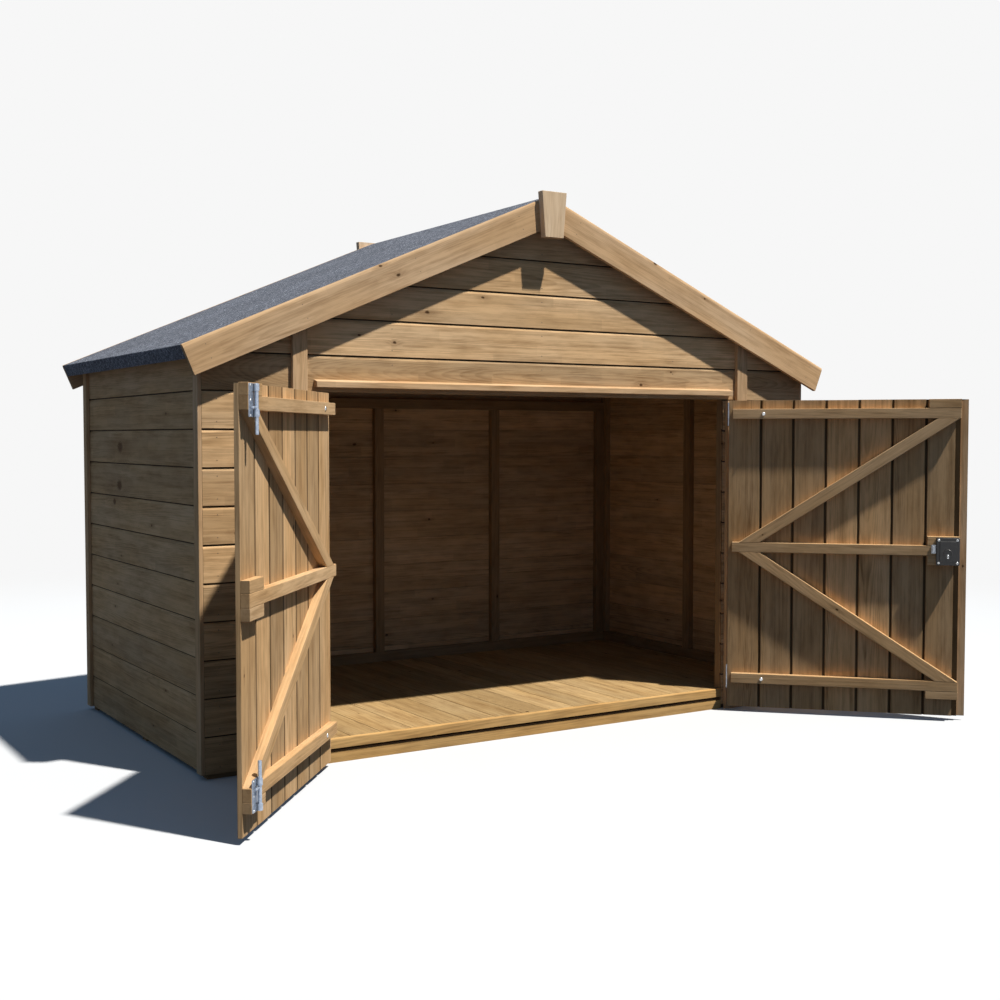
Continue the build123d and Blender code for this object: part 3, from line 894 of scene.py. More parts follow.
floor = {
    "boardCover": 0.1185,
    "jointAt": 0.049,  # a joint between two floor boards
    "gap": 0.0018,
    "narrowest": 0.012,
    "ease": 0.0012,
    "knotShare": 0.55,
    "nailInset": 0.022,
    "nailRows": (0.040, 0.030),  # from the front and the rear edge
    "timberEase": 0.002,
    "edgeFrom": 0.06,  # the threshold reaches above this height, the board under it doesn't
    "edgeEase": (0.002, 0.0015, 0.0045, 0.002),
    "edgeTone": 0.62,
    # painted shadow on top of the lower threshold board, at its darkest
    "edgeDirt": 0.8,
    "socketRadius": 0.007,
    "socketDepth": 0.029,
}


def cutSocket(piece, depth, z):
    # a round socket for the bolts, cut and applied straight away
    cutter = newStack()
    radius = floor["socketRadius"]
    addTurned(cutter, [(radius, -depth), (radius, depth)], [*boltLine(), z], zAxis, 24)
    mesh = meshOf("socketCutter", cutter)
    tool = inScene("socketCutter", mesh)
    piece.modifiers.clear()
    change = piece.modifiers.new("socket", "BOOLEAN")
    change.object = tool
    change.operation = "DIFFERENCE"
    change.solver = "EXACT"
    bpy.context.view_layer.update()
    graph = bpy.context.evaluated_depsgraph_get()
    result = bpy.data.meshes.new_from_object(piece.evaluated_get(graph), depsgraph=graph)
    piece.modifiers.clear()
    piece.data = result
    flattenFaces(piece)
    bpy.data.objects.remove(tool)
    bpy.data.meshes.remove(mesh)


def makeDeck(chance, threshold):
    # boards side by side from front to rear; those in the doorway start behind the threshold
    f = floor
    low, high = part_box("floor_deck")
    stack, nails = newStack(), newStack()
    first = math.floor((low.x - f["jointAt"]) / f["boardCover"])
    last = math.ceil((high.x - f["jointAt"]) / f["boardCover"])
    for number in range(first, last):
        left = max(f["jointAt"] + number * f["boardCover"], low.x) + f["gap"] / 2
        right = min(f["jointAt"] + (number + 1) * f["boardCover"], high.x) - f["gap"] / 2
        width = right - left
        if width < f["narrowest"]:
            continue
        outside = right < threshold[0][0] or left > threshold[1][0]
        front = low.y if outside else threshold[1][1]
        addBoard(stack, planed(width, high.z - low.z, f["ease"]), [left, 0, low.z], yAxis, xAxis, zAxis,
                 front + 0.0003, high.y, figureOf(chance, width, f["knotShare"]))
        if width > 0.08:
            for y in (low.y + f["nailRows"][0], 0.0, high.y - f["nailRows"][1]):
                for x in (left + f["nailInset"], right - f["nailInset"]):
                    addNails(nails, [np.array([x, y, high.z])], zAxis, 0.0024, 0.0004)
    deck = finishPiece("floor_boards", stack, "floorTimber", "floor_deck")
    finishPiece("floor_nails", nails, "nailSteel")
    return deck


def makeThreshold(chance):
    # two boards on edge, one below the other
    f = floor
    stack = newStack()
    for low, high in solidBoxes("threshold_boards"):
        deep, tall = (high - low)[1:]
        upper = high[2] > f["edgeFrom"]

        def onTop(across, out):
            # painted shadow on top of the lower board, where the upper board would shade it
            return (across > tall - 0.0010) * f["edgeDirt"]

        addBoard(stack, planed(tall, deep, f["edgeEase"] if upper else 0.0015),
                 [0, high[1], low[2]], *outward, low[0], high[0],
                 figureOf(chance, tall, 0.3, f["edgeTone"]), paintedShade=None if upper else onTop)
    return finishPiece("threshold_timbers", stack, "edgeTimber",
                       "threshold_boards")


def makeFloor():
    # the lower bolt's socket is cut in the deck and in the threshold
    f = floor
    chance = np.random.default_rng(21)
    for node in ("floor_bearers", "floor_joists"):
        makeSticks(node, "frameTimber", chance, f["timberEase"], 0.3)
    threshold = [box for box in solidBoxes("threshold_boards") if box[1][2] > f["edgeFrom"]][0]
    for piece in (makeDeck(chance, threshold), makeThreshold(chance)):
        cutSocket(piece, f["socketDepth"], threshold[1][2])


makeFloor()
print("floor made")


# ---- frame timbers seen through the doorway

framing = {
    "ease": 0.002,
    "knotShare": 0.2,
    "socketDepth": 0.028,  # the upper bolt's socket in the door header
    "sideFrom": 1.2,  # a rail past this x and above this z follows the roof
    "upperFrom": 1.0,
    "railEase": 0.0015,
    "ridgeHeart": 0.07,  # width that the ridge beam's figure is drawn for
    "rafterDepth": 0.045,
    "stripEase": 0.0016,
}


def finishTimbers(node, stack, finish="frameTimber"):
    # takes the place of a node of timbers
    finishPiece(timbersOf(node), stack, finish, node)


def makeFrame():
    # upright and level timbers, with the upper bolt's socket
    f = framing
    chance = np.random.default_rng(31)
    for node in ("wall_studs", "door_posts", "door_header"):
        header = makeSticks(node, "frameTimber", chance, f["ease"], f["knotShare"])
    cutSocket(header, f["socketDepth"], shed["doorTop"])
    # rails, where the upper side rails have their top planed to the roof slope
    stack = newStack()
    for low, high in solidBoxes("wall_rails"):
        inner, outer = sorted((abs(low[0]), abs(high[0])))
        if inner > f["sideFrom"] and low[0] * high[0] > 0 and low[2] > f["upperFrom"]:
            sign = np.sign(low[0])
            wide = roofZ(outer, underDrop) - low[2]
            tall = roofZ(inner, underDrop) - low[2]
            section = rounded([(0, 0), (wide, 0), (tall, outer - inner), (0, outer - inner)],
                              f["railEase"])
            addBoard(stack, section, [sign * outer, 0, low[2]], yAxis, zAxis, -sign * xAxis,
                     low[1], high[1], figureOf(chance, wide, f["knotShare"]))
        else:
            addStick(stack, low, high, chance, f["ease"], f["knotShare"])
    finishTimbers("wall_rails", stack)


def slopeAxes(side):
    # down the slope and square to it, for the side of the roof at side * x
    return np.array([side * cosPitch, 0, -sinPitch]), np.array([side * sinPitch, 0, cosPitch])


def makeRidge(chance):
    # five-sided: its top follows both slopes
    low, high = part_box("ridge_beam")
    half = high.x
    shoulder = roofZ(half, underDrop) - low.z
    section = rounded([(0, -half), (shoulder, -half), (high.z - low.z, 0), (shoulder, half),
                       (0, half)], [0.002, 0.001, 0.001, 0.001, 0.002])
    stack = newStack()
    addBoard(stack, section, [0, 0, low.z], yAxis, zAxis, xAxis, low.y, high.y,
             figureOf(chance, framing["ridgeHeart"], 0.6))
    finishTimbers("ridge_beam", stack)


def makeRafters(chance):
    # down both slopes, their ends cut plumb
    depth = framing["rafterDepth"]

    def plumbCut(x):
        # the length at which each point of the section stands at this x
        return lambda across, out: (x - (across - depth) * sinPitch) / cosPitch

    stack = newStack()
    for low, high in solidBoxes("gable_rafters"):
        down, up = slopeAxes(1 if high[0] + low[0] > 0 else -1)
        near, far = sorted((abs(low[0]), abs(high[0])))
        origin = np.array([0, low[1], roofZ(0.0, underDrop)]) - up * depth
        addBoard(stack, planed(depth, high[1] - low[1], framing["ease"]), origin, down, up, yAxis,
                 plumbCut(near), plumbCut(far), figureOf(chance, depth, 0.4))
    finishTimbers("gable_rafters", stack)


def makeStrips(chance):
    # a strip's width and depth follow from its upright box: the box's spread is
    # (wide * cos + deep * sin, wide * sin + deep * cos) of the pitch
    flat = cosPitch ** 2 - sinPitch ** 2
    for node, finish in (("purlins", "frameTimber"), ("eave_battens", "trimTimber")):
        stack = newStack()
        for low, high in solidBoxes(node):
            down, up = slopeAxes(1 if high[0] + low[0] > 0 else -1)
            spread = high - low
            wide = (spread[0] * cosPitch - spread[2] * sinPitch) / flat
            deep = (spread[2] * cosPitch - spread[0] * sinPitch) / flat
            middle = np.array([(low[0] + high[0]) / 2, 0, (low[2] + high[2]) / 2])
            origin = middle - down * wide / 2 - up * deep / 2
            addBoard(stack, planed(wide, deep, framing["stripEase"]), origin, yAxis, down, up,
                     low[1], high[1], figureOf(chance, wide, 0.3))
        finishTimbers(node, stack, finish)


makeFrame()
roofChance = np.random.default_rng(32)
makeRidge(roofChance)
makeRafters(roofChance)
makeStrips(roofChance)
print("frame made")


# ---- roof boards and felt

roof = {
    "boardCover": 0.1000,  # boards run from the ridge to the eaves
    "boardGap": 0.0012,
    "vee": 0.003,  # chamfer beside a joint, where the boards show from inside
    "feltThickness": 0.0026,
    "feltFold": 0.005,  # radius of the fold at the eaves
    "feltLap": 0.048,  # folded down over the eaves
    "ripple": 0.00022,  # height of the felt's long and short ripples together
}


def makeRoofBoards():
    # boards down the slope, side by side from front to rear
    depth = shed["roofBoardDepth"]
    felt = shed["feltDepth"]
    vee = roof["vee"]
    count = round(2 * roofEnd / roof["boardCover"])
    cover = 2 * roofEnd / count
    width = cover - roof["boardGap"]
    section = rounded([(0, vee), (vee, 0), (width - vee, 0), (width, vee), (width, depth),
                       (0, depth)], 0.0004, 2)
    end = (eaveX - felt * cosPitch) / cosPitch
    end -= felt * sinPitch / cosPitch

    def atRidge(across, out):
        # plumb cut along the ridge, where the two sides meet
        return np.maximum(-(out - depth) * sinPitch / cosPitch, 0) + 0.0004

    for side, name in ((-1, "left"), (1, "right")):
        chance = np.random.default_rng(41 if side < 0 else 42)
        down, up = slopeAxes(side)
        top = np.array([0, 0, ridgeZ - felt / cosPitch])
        stack = newStack()
        for number in range(count):
            y = -roofEnd + number * cover
            addBoard(stack, section, top - up * depth + yAxis * (y + roof["boardGap"] / 2), down,
                     yAxis, up, atRidge, end - 0.0005, figureOf(chance, width, 0.4), 0.0004)
        finishPiece("roof_planks_" + name, stack, "frameTimber",
                    "roof_boards_" + name)


def ribbon(path, thickness):
    # outline of a bent sheet: its path and the same path moved square to itself by thickness
    step = np.gradient(path, axis=0)
    step = step / np.linalg.norm(step, axis=1, keepdims=True)
    square = np.stack([step[:, 1], -step[:, 0]], 1)
    return np.vstack([path, (path + square * thickness)[::-1]])


def slopePoint(distance, depth):
    # (x, z) of a point down the slope, depth below the finished surface
    return np.array([distance * cosPitch - depth * sinPitch,
                     ridgeZ - distance * sinPitch - depth * cosPitch])


def makeFelt():
    # a bent ribbon carried along the ridge. Its path runs down the slope, round the fold and
    # down over the batten. It sinks by two sine ripples, which fade out at both of its ends
    whole = eaveX / cosPitch
    thick = roof["feltThickness"]
    base = shed["feltDepth"] - thick
    fold = roof["feltFold"]
    slopePart = [slopePoint(d, base) for d in np.linspace(0.0, whole - fold - 0.004, 26)]
    angle = np.linspace(math.pi / 2, 0, 7)[:, None]
    bend = slopePoint(whole - fold, base + fold) + fold * (
        np.cos(angle) * np.array([cosPitch, -sinPitch])
        + np.sin(angle) * np.array([sinPitch, cosPitch]))
    foot = [slopePoint(whole, d) for d in np.linspace(base + fold, roof["feltLap"], 5)]
    path = np.vstack([slopePart, bend, foot[1:]])
    outline = ribbon(path, thick)
    across = outline[None, :, 0]
    stations = np.linspace(-roofEnd, roofEnd, 90)[:, None]
    hold = np.sin(np.linspace(0, 1, len(path)) * math.pi) ** 0.5
    hold = np.concatenate([hold, hold[::-1]])
    for side, name in ((-1, "left"), (1, "right")):
        wave = np.random.default_rng(51 if side < 0 else 52).random(2) * 6
        ripple = (np.sin(stations * 9 + wave[0] + across * 7)
                  + np.sin(stations * 23 + wave[1] - across * 11) * 0.5)
        drop = roof["ripple"] * (ripple - 1.5) * hold
        stack = newStack()
        addLoft(stack, np.stack([
            side * across + 0 * ripple, stations + 0 * ripple, outline[None, :, 1] + drop,
        ], -1))
        finishPiece("roof_felt_sheet_" + name, stack, "slateFelt",
                    "roof_felt_" + name, smooth=50)


makeRoofBoards()
makeFelt()
print("roof made")


# ---- bargeboards, keystones and trims

trims = {
    "bargeWidth": 0.105,
    "bargeThickness": 0.0155,
    "bargeBevel": 0.010,  # eased upper edge of a bargeboard's face
    "bargeNails": (0.16, 0.62, 1.08, 1.44),  # down the slope
    "bargeNailRows": (0.030, 0.078),
    "keyLowHalf": 0.0405,  # half of a keystone's width at its foot
    "keyRadius": 0.003,
    "keyTone": 0.66,
    "cornerEase": 0.0025,
    "sideEase": 0.0030,
    "jambEase": 0.0015,
    "dripFall": 0.007,  # how far the drip strip's top slopes down to throw rain off
    "dripTone": 0.62,
}
# knots of the two front bargeboards, by side
bargeKnots = {
    -1: {"knotOne": (-0.009, 0.099, 0.0050), "knotTwo": (-0.061, 0.048, 0.0060)},
    1: {"knotOne": (-0.231, 0.100, 0.0062), "knotTwo": (0.045, 0.086, 0.0036)},
}


def makeBarge(face, name, chance, nails):
    # two boards along the slopes, cut plumb where they meet behind the keystone
    t = trims
    wide = t["bargeWidth"]
    thick = t["bargeThickness"]
    section = rounded([(0, 0), (wide, 0), (wide, thick - 0.0045), (wide - t["bargeBevel"], thick),
                       (0, thick)], [0.001, 0.001, 0.0030, 0.0045, 0.0018])

    def atApex(across, out):
        # the length at which each point of the section is plumb
        return (0.001 - (across - wide) * sinPitch) / cosPitch

    stack = newStack()
    for side in (-1, 1):
        down, up = slopeAxes(side)
        origin = np.array([0, face * roofEnd, ridgeZ]) - up * wide
        figure = figureOf(chance, wide, 0.0, 0.55 + 0.1 * side)
        figure["stamp"][2] *= 0.3
        if face < 0:
            figure.update(bargeKnots[side])
        addBoard(stack, section, origin, down, up, face * yAxis, atApex, eaveX / cosPitch, figure,
                 0.0012)
        for distance in t["bargeNails"]:
            spots = [origin + down * distance + up * height + yAxis * face * thick
                     for height in t["bargeNailRows"]]
            addNails(nails, spots, face * yAxis, 0.0016, 0.0004)
    finishPiece(name + "_barge_timbers", stack, "trimTimber",
                name + "_bargeboards")


def makeKeystone(face, name, chance):
    # a tapered block: one rounded section carried up, its width growing with the height
    t = trims
    low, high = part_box(name + "_keystone")
    near = low.y if face > 0 else high.y
    thick = high.y - low.y
    tall = high.z - low.z
    figure = figureOf(chance, high.x * 2, 0.0, t["keyTone"])
    section = rounded([(-high.x, 0), (high.x, 0), (high.x, thick), (-high.x, thick)],
                      [0.001, 0.001, t["keyRadius"], t["keyRadius"]], 4)
    inner = shrunk(section, 0.0012)
    heights = np.array([0, 0.0012, tall - 0.0012, tall])
    taper = t["keyLowHalf"] / high.x + (1 - t["keyLowHalf"] / high.x) * heights / tall
    outlines = [inner, section, section, inner]
    rings = np.stack([
        np.column_stack([outline[:, 0] * share, near + face * outline[:, 1],
                         np.full(len(section), low.z + height)])
        for outline, share, height in zip(outlines, taper, heights)
    ])
    # the grain runs up the block
    grain = np.stack([
        np.column_stack([np.full(len(section), height), outline + [0.045, 0]])
        for outline, height in zip(outlines, heights)
    ]).reshape(-1, 3)
    cut = np.repeat([1.0, 0, 0, 1.0], len(section))
    stack = newStack()
    addLoft(stack, rings, {**figure, "grain": grain, "cut": cut})
    finishPiece(name + "_keystone_block", stack, "keyTimber", name + "_keystone")


def makeBarges():
    # both gables, their draws in one order
    nails = newStack()
    for face, name in ((-1, "front"), (1, "rear")):
        chance = np.random.default_rng(61 if face < 0 else 62)
        makeBarge(face, name, chance, nails)
        makeKeystone(face, name, chance)
    finishPiece("barge_nails", nails, "nailSteel")


def makeTrims():
    # upright boards whose tops follow the roof, the jamb boards and the drip strip
    t = trims
    chance = np.random.default_rng(63)
    stack = newStack()
    for low, high in solidBoxes("corner_trims"):
        side = 1 if low[0] > 0 else -1
        inner = min(abs(low[0]), abs(high[0]))
        deep, wide, _ = high - low

        def outwards(across, out):
            # the top follows the roof
            return roofZ(inner + out, underDrop)

        addBoard(stack, planed(wide, deep, t["cornerEase"]), [side * inner, low[1], 0], zAxis, yAxis,
                 side * xAxis, low[2], outwards, figureOf(chance, wide, 0.3), 0.0006)
    finishPiece(timbersOf("corner_trims"), stack, "trimTimber", "corner_trims")
    for node, name, ease in (("door_side_trims", "door_side_trim_timbers", t["sideEase"]),
                             ("door_jamb_boards", "door_jamb_timbers", t["jambEase"])):
        stack = newStack()
        for low, high in solidBoxes(node):
            wide, deep, _ = high - low

            def sideways(across, out):
                # the top follows the roof
                return roofZ(low[0] + across, underDrop)

            addBoard(stack, planed(wide, deep, ease), [low[0], high[1], 0], *upright, low[2],
                     sideways if node == "door_side_trims" else high[2],
                     figureOf(chance, wide, 0.2), 0.0008)
        finishPiece(name, stack, "trimTimber", node)
    low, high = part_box("door_drip_strip")
    tall = high.z - low.z
    deep = high.y - low.y
    section = rounded([(0, 0), (tall, 0), (tall - t["dripFall"], deep), (0, deep)],
                      [0.001, 0.001, 0.002, 0.002])
    stack = newStack()
    addBoard(stack, section, [0, high.y, low.z], *outward, low.x, high.x,
             figureOf(chance, tall, 0.0, t["dripTone"]), 0.001)
    finishPiece("door_drip_timber", stack, "trimTimber", "door_drip_strip")


makeBarges()
makeTrims()
print("trims made")


# ---- doors, built closed and swung to where the CAD doors stand

leaf = {
    "boards": 7,
    "joint": 0.0040,  # open gap between two boards
    "vee": 0.0042,  # chamfer beside a joint
    "edge": 0.0004,  # easing of the leaf's two outer edges
    "tongue": 0.005,
    "tongueFrom": 0.40,  # shares of the thickness that the tongue lies between
    "tongueTo": 0.62,
    "dusk": (0.95, 0.55),  # painted shade: how dark a joint and the rebate's floor are, and how dark its chamfers are
    "rebate": (0.020, 0.006),  # behind the cover strip, on the right leaf's inner face
    "uneven": 0.0012,  # how far a board's ends stand back by chance
    "ledgeEase": (0.001, 0.001, 0.0024, 0.0024),
    "braceWidth": 0.045,
    "upperBraceFrom": 0.6,
    "padEase": 0.0020,
    "nail": 0.0024,
    "nailShares": (0.28, 0.72),  # across each board
}


def makeLeafBoards(name, side, body, turn, chance, ledges):
    # V joints on both faces, a tongue in the middle
    low, high = solidBoxes(name + "_door_boards", turn)[0]
    front = low[1]
    thick = high[1] - low[1]
    cover = (high[0] - low[0]) / leaf["boards"]
    back, step = leaf["rebate"]
    stack, nails = newStack(), newStack()
    for number in range(leaf["boards"]):
        first = number == 0
        final = number == leaf["boards"] - 1
        begin = 0 if first else leaf["joint"] / 2
        width = cover - begin - (0 if final else leaf["joint"] / 2)
        inner = leaf["edge"] if first else leaf["vee"]
        outer = leaf["edge"] if final else leaf["vee"]
        reach = width + (0 if final else leaf["tongue"])
        under = thick * leaf["tongueFrom"]
        over = thick * leaf["tongueTo"]
        section = [
            (0, inner), (inner, 0), (width - outer, 0), (width, outer), (width, under),
            (reach, under), (reach, over), (width, over), (width, thick - outer),
            (width - outer, thick), (inner, thick), (0, thick - inner),
        ]
        if first and side > 0:
            section[-2:] = [(back, thick), (back, thick - step), (0, thick - step)]

        def paintedShade(across, out):
            # painted shade on both sides of a joint, on its chamfers and on the floor of the rebate
            hollow = (side > 0) & (across < back + 0.001) & (out > 0.005) & (out < thick - step + 0.001)
            before = hollow if first else across < 0.0006
            deep = before | ((across > width - 0.0006) & (not final))
            beside = ((across < inner) & (not first)) | ((across > width - outer) & (not final))
            return np.select([deep, beside], leaf["dusk"], 0.0)

        x = low[0] + number * cover
        figure = figureOf(chance, width, 0.18)
        start = low[2] + leaf["uneven"] * chance.random()
        end = high[2] - leaf["uneven"] * chance.random()
        addBoard(stack, rounded(section, 0.0004, 2), [x + begin, front, 0], zAxis, xAxis, yAxis,
                 start, end, figure, 0.0004, paintedShade)
        for ledge in ledges:
            level = (ledge[0][2] + ledge[1][2]) / 2
            for share in leaf["nailShares"]:
                addNails(nails, [[x + cover * share, front, level]], -yAxis, leaf["nail"])
    finishPiece(name + "_leaf_boards", stack, "doorTimber",
                name + "_door_boards", body, turn)
    return nails


def makeLedges(name, body, turn, chance, ledges):
    # level boards, their inner edges eased
    stack = newStack()
    for low, high in ledges:
        deep, tall = (high - low)[1:]
        addBoard(stack, planed(tall, deep, leaf["ledgeEase"]), [0, low[1], low[2]], *inward,
                 low[0], high[0], figureOf(chance, tall, 0.0), 0.0015)
    finishPiece(name + "_leaf_ledges", stack, "ledgeTimber",
                name + "_door_ledges", body, turn)


def makeBraces(name, side, body, turn, chance):
    # slanted boards between the ledges, with level cuts where they meet them. The length c of
    # a cut follows from the brace's width: c * rise = width * hypot(rise, run - c)
    wide = leaf["braceWidth"]
    stack = newStack()
    for low, high in solidBoxes(name + "_door_braces", turn):
        run, deep, rise = high - low
        a = rise ** 2 - wide ** 2
        b = 2 * wide ** 2 * run
        c = -(wide ** 2) * (rise ** 2 + run ** 2)
        cut = (-b + math.sqrt(b * b - 4 * a * c)) / (2 * a)
        # upper braces lean out from the hinge side, lower braces lean back to it
        ends = (low[0], high[0] - cut)
        footX, headX = ends if (side < 0) == (low[2] > leaf["upperBraceFrom"]) else ends[::-1]
        along = np.array([headX - footX, 0, rise])
        along = along / np.linalg.norm(along)
        square = np.array([along[2], 0, -along[0]])
        across = cut * along[2]

        # the length at which each point of the section is level with the brace's foot or head
        def atFoot(across, out):
            return -across * square[2] / along[2]

        def atHead(across, out):
            return (rise - across * square[2]) / along[2]

        addBoard(stack, planed(across, deep, leaf["ledgeEase"]), np.array([footX, low[1], low[2]]),
                 along, square, yAxis, atFoot, atHead, figureOf(chance, across, 0.2), 0.0008)
    finishPiece(name + "_leaf_braces", stack, "ledgeTimber",
                name + "_door_braces", body, turn)


hinge = {
    "strapHalf": 0.017,  # half of a strap's width at the hinge, and near its tip
    "strapTipHalf": 0.010,
    "strapLength": 0.300,
    "strapNeck": (0.040, 0.022),  # from the tip, where the spear end begins and narrows
    "thickness": 0.003,
    "bevel": 0.0006,
    "knuckleRadius": 0.0055,
    "notch": 0.0178,  # half height of a plate's recess for the strap's knuckle
    "screws": (0.070, 0.125, 0.180, 0.235, 0.284),
    "coachBolt": 0.034,  # from the hinge line, outside
    "throughBolt": 0.140,  # from the hinge line, inside
    "plateScrews": ((0.012, 0.026), (0.030, 0.018)),  # from a plate's end and from the hinge line
}


def strapOutline():
    # a long taper that ends in a spear, in (along, across): one side and then its mirror image
    h = hinge
    length = h["strapLength"]
    begin, narrow = h["strapNeck"]
    side = np.array([(0.0, h["strapHalf"]), (length - begin, h["strapTipHalf"] + 0.0009),
                     (length - narrow, h["strapTipHalf"] + 0.0002), (length, 0.0035)])
    eased = [0.0005, 0.006, 0.006, 0.003]
    return rounded(np.vstack([side * [1, -1], side[::-1]]), eased + eased[::-1], 4)


def makeStraps(name, side, body, turn):
    # a strap and its knuckle on the hinge line, with screws, a coach bolt and a through bolt
    h = hinge
    hingeX, hingeY, _ = jointOf(name + "_door_hinge")["pos_m"]
    ledgeFace = solidBoxes(name + "_door_ledges", turn)[0][1][1]
    face = hingeY + 0.0005 + h["knuckleRadius"]
    along = -side * xAxis
    straps, heads, recessShades = newStack(), newStack(), newStack()
    for low, high in solidBoxes(name + "_hinge_straps", turn):
        z = (low[2] + high[2]) / 2
        addPlate(straps, strapOutline(), [hingeX, face, z], along, zAxis, -yAxis, h["thickness"],
                 h["bevel"])
        addTurned(straps, barrel(0.0035, h["knuckleRadius"], 0, high[2] - low[2]),
                  [hingeX, hingeY, low[2]], zAxis, 24)
        outside = np.array([hingeX, face - h["thickness"], z])
        for distance in h["screws"]:
            addScrew(heads, recessShades, outside + along * distance, *outward, 0.0042, 0.0017)
        addTurned(heads, dome(0.0085, 0.0040, 0.0006), outside + along * h["coachBolt"], -yAxis, 20)
        # a coach bolt through the ledge shows as a domed head inside
        spot = np.array([hingeX, ledgeFace, z]) + along * h["throughBolt"]
        addTurned(heads, dome(0.0075, 0.0042, 0.0006), spot, yAxis, 20)
    finishPiece(name + "_hinge_strap_plates", straps, "zincSteel",
                name + "_hinge_straps", body, turn)
    finishPiece(name + "_hinge_screws", heads, "screwSteel", None, body, turn)
    finishPiece(name + "_hinge_screw_recesses", recessShades, "darkRecess", None, body, turn)


def makeHingePlates():
    # a plate on each jamb board, with a knuckle above and below the strap's and a pin through
    h = hinge
    notch = h["notch"]
    r = h["knuckleRadius"]
    plates, heads, recessShades = newStack(), newStack(), newStack()
    for low, high in solidBoxes("hinge_plates"):
        side, name = (1, "right") if low[0] > 0 else (-1, "left")
        hingeX, hingeY, _ = jointOf(name + "_door_hinge")["pos_m"]
        z = (low[2] + high[2]) / 2
        half = (high[2] - low[2]) / 2
        face = high[1]
        wide = max(abs(low[0]), abs(high[0])) - abs(hingeX)
        # the plate's inner edge stands back beside the strap's knuckle
        outline = rounded([
            (0.0, -half), (wide, -half), (wide, half), (0.0, half), (0.0, notch),
            (r + 0.0012, notch), (r + 0.0012, -notch), (0.0, -notch),
        ], [0.0004, 0.004, 0.004, 0.0004, 0.0004, 0.0006, 0.0006, 0.0004], 4)
        addPlate(plates, outline, [hingeX, face, z], side * xAxis, zAxis, -yAxis, h["thickness"],
                 h["bevel"])
        pin = [(0.0020, -half + 0.0002), (0.0030, -half + 0.0012), (0.0030, half - 0.0012),
               (0.0020, half - 0.0002)]
        for profile, sides in ((barrel(0.0030, r, -half, -notch), 24),
                               (barrel(0.0030, r, notch, half), 24), (pin, 20)):
            addTurned(plates, profile, [hingeX, hingeY, z], zAxis, sides)
        (outer, farX), (inner, nearX) = h["plateScrews"]
        for height, across in ((-half + outer, farX), (-half + inner, nearX),
                               (half - inner, nearX), (half - outer, farX)):
            spot = np.array([hingeX + side * across, face - h["thickness"], z + height])
            addScrew(heads, recessShades, spot, *outward, 0.0040, 0.0016)
    finishPiece("hinge_cross_plates", plates, "zincSteel", "hinge_plates")
    finishPiece("hinge_plate_screws", heads, "screwSteel")
    finishPiece("hinge_plate_recesses", recessShades, "darkRecess")


def makeLeaf(side):
    # one leaf and all that rides on it
    name = "left" if side < 0 else "right"
    body = name + "_door"
    turn = restTurn(name + "_door_hinge")
    chance = np.random.default_rng(71 if side < 0 else 72)
    ledges = solidBoxes(name + "_door_ledges", turn)
    nails = makeLeafBoards(name, side, body, turn, chance, ledges)
    makeLedges(name, body, turn, chance, ledges)
    makeBraces(name, side, body, turn, chance)
    makeSticks(name + "_door_pads", "ledgeTimber", chance, leaf["padEase"], 0.0,
               name + "_leaf_pads", body, turn)
    finishPiece(name + "_leaf_nails", nails, "nailSteel", None, body, turn)
    makeStraps(name, side, body, turn)


makeLeaf(-1)
makeLeaf(1)
makeHingePlates()
print("doors made")


# ---- tower bolts on the left leaf

bolts = {
    "plateThickness": 0.0025,
    "plateCorner": 0.004,
    "stapleLength": 0.019,
    "stapleInset": 0.0015,
    "stapleWall": 0.0023,
    "stapleFoot": 0.0055,  # width of each foot of a staple
    "screwInset": (0.0104, 0.0050),
    "screwSize": (0.0036, 0.0024),
    "holeSpot": (0.0090, 0.0240),
    "holeRadius": 0.0026,
    "knobDrop": 0.005,  # from the inner staple to the knob
    "plateDirt": 0.30,  # share of plain darkening on the flat parts and the staple feet
    "upperFrom": 0.6,  # a plate that reaches above this height is the top one
}


def addStaples(plates, x, lift, face, spans, radius):
    # an outline of two feet, two cheeks and an arch over the bar, carried up over each span
    b = bolts
    inner = radius + 0.0001
    outer = inner + b["stapleWall"]
    angle = np.linspace(0, math.pi, 13)
    arch = np.column_stack([outer * np.cos(angle), lift + outer * np.sin(angle)])
    hollow = np.column_stack([inner * np.cos(angle), lift + inner * np.sin(angle)])[::-1]
    base = b["plateThickness"] - 0.0002
    foot = base + 0.0017
    shape = np.vstack([
        [(outer + b["stapleFoot"], base), (outer + b["stapleFoot"], foot), (outer, foot)], arch,
        [(-outer, foot), (-outer - b["stapleFoot"], foot), (-outer - b["stapleFoot"], base),
         (-inner, base)], hollow, [(inner, base)],
    ])
    # painted shade is darkest where a foot turns up into its cheek; the feet take the plain darkening
    # of the flats
    shadeAndDark = np.zeros(len(shape))
    shadeAndDark[[0, 1, len(arch) + 4, len(arch) + 5]] = b["plateDirt"]
    shadeAndDark[[2, len(arch) + 3]] = 1.0
    for span in spans:
        rings = np.stack([
            np.column_stack([x + shape[:, 0], face + shape[:, 1], np.full(len(shape), height)])
            for height in span
        ])
        addLoft(plates, rings, {"joint": np.tile(shadeAndDark, 2)})


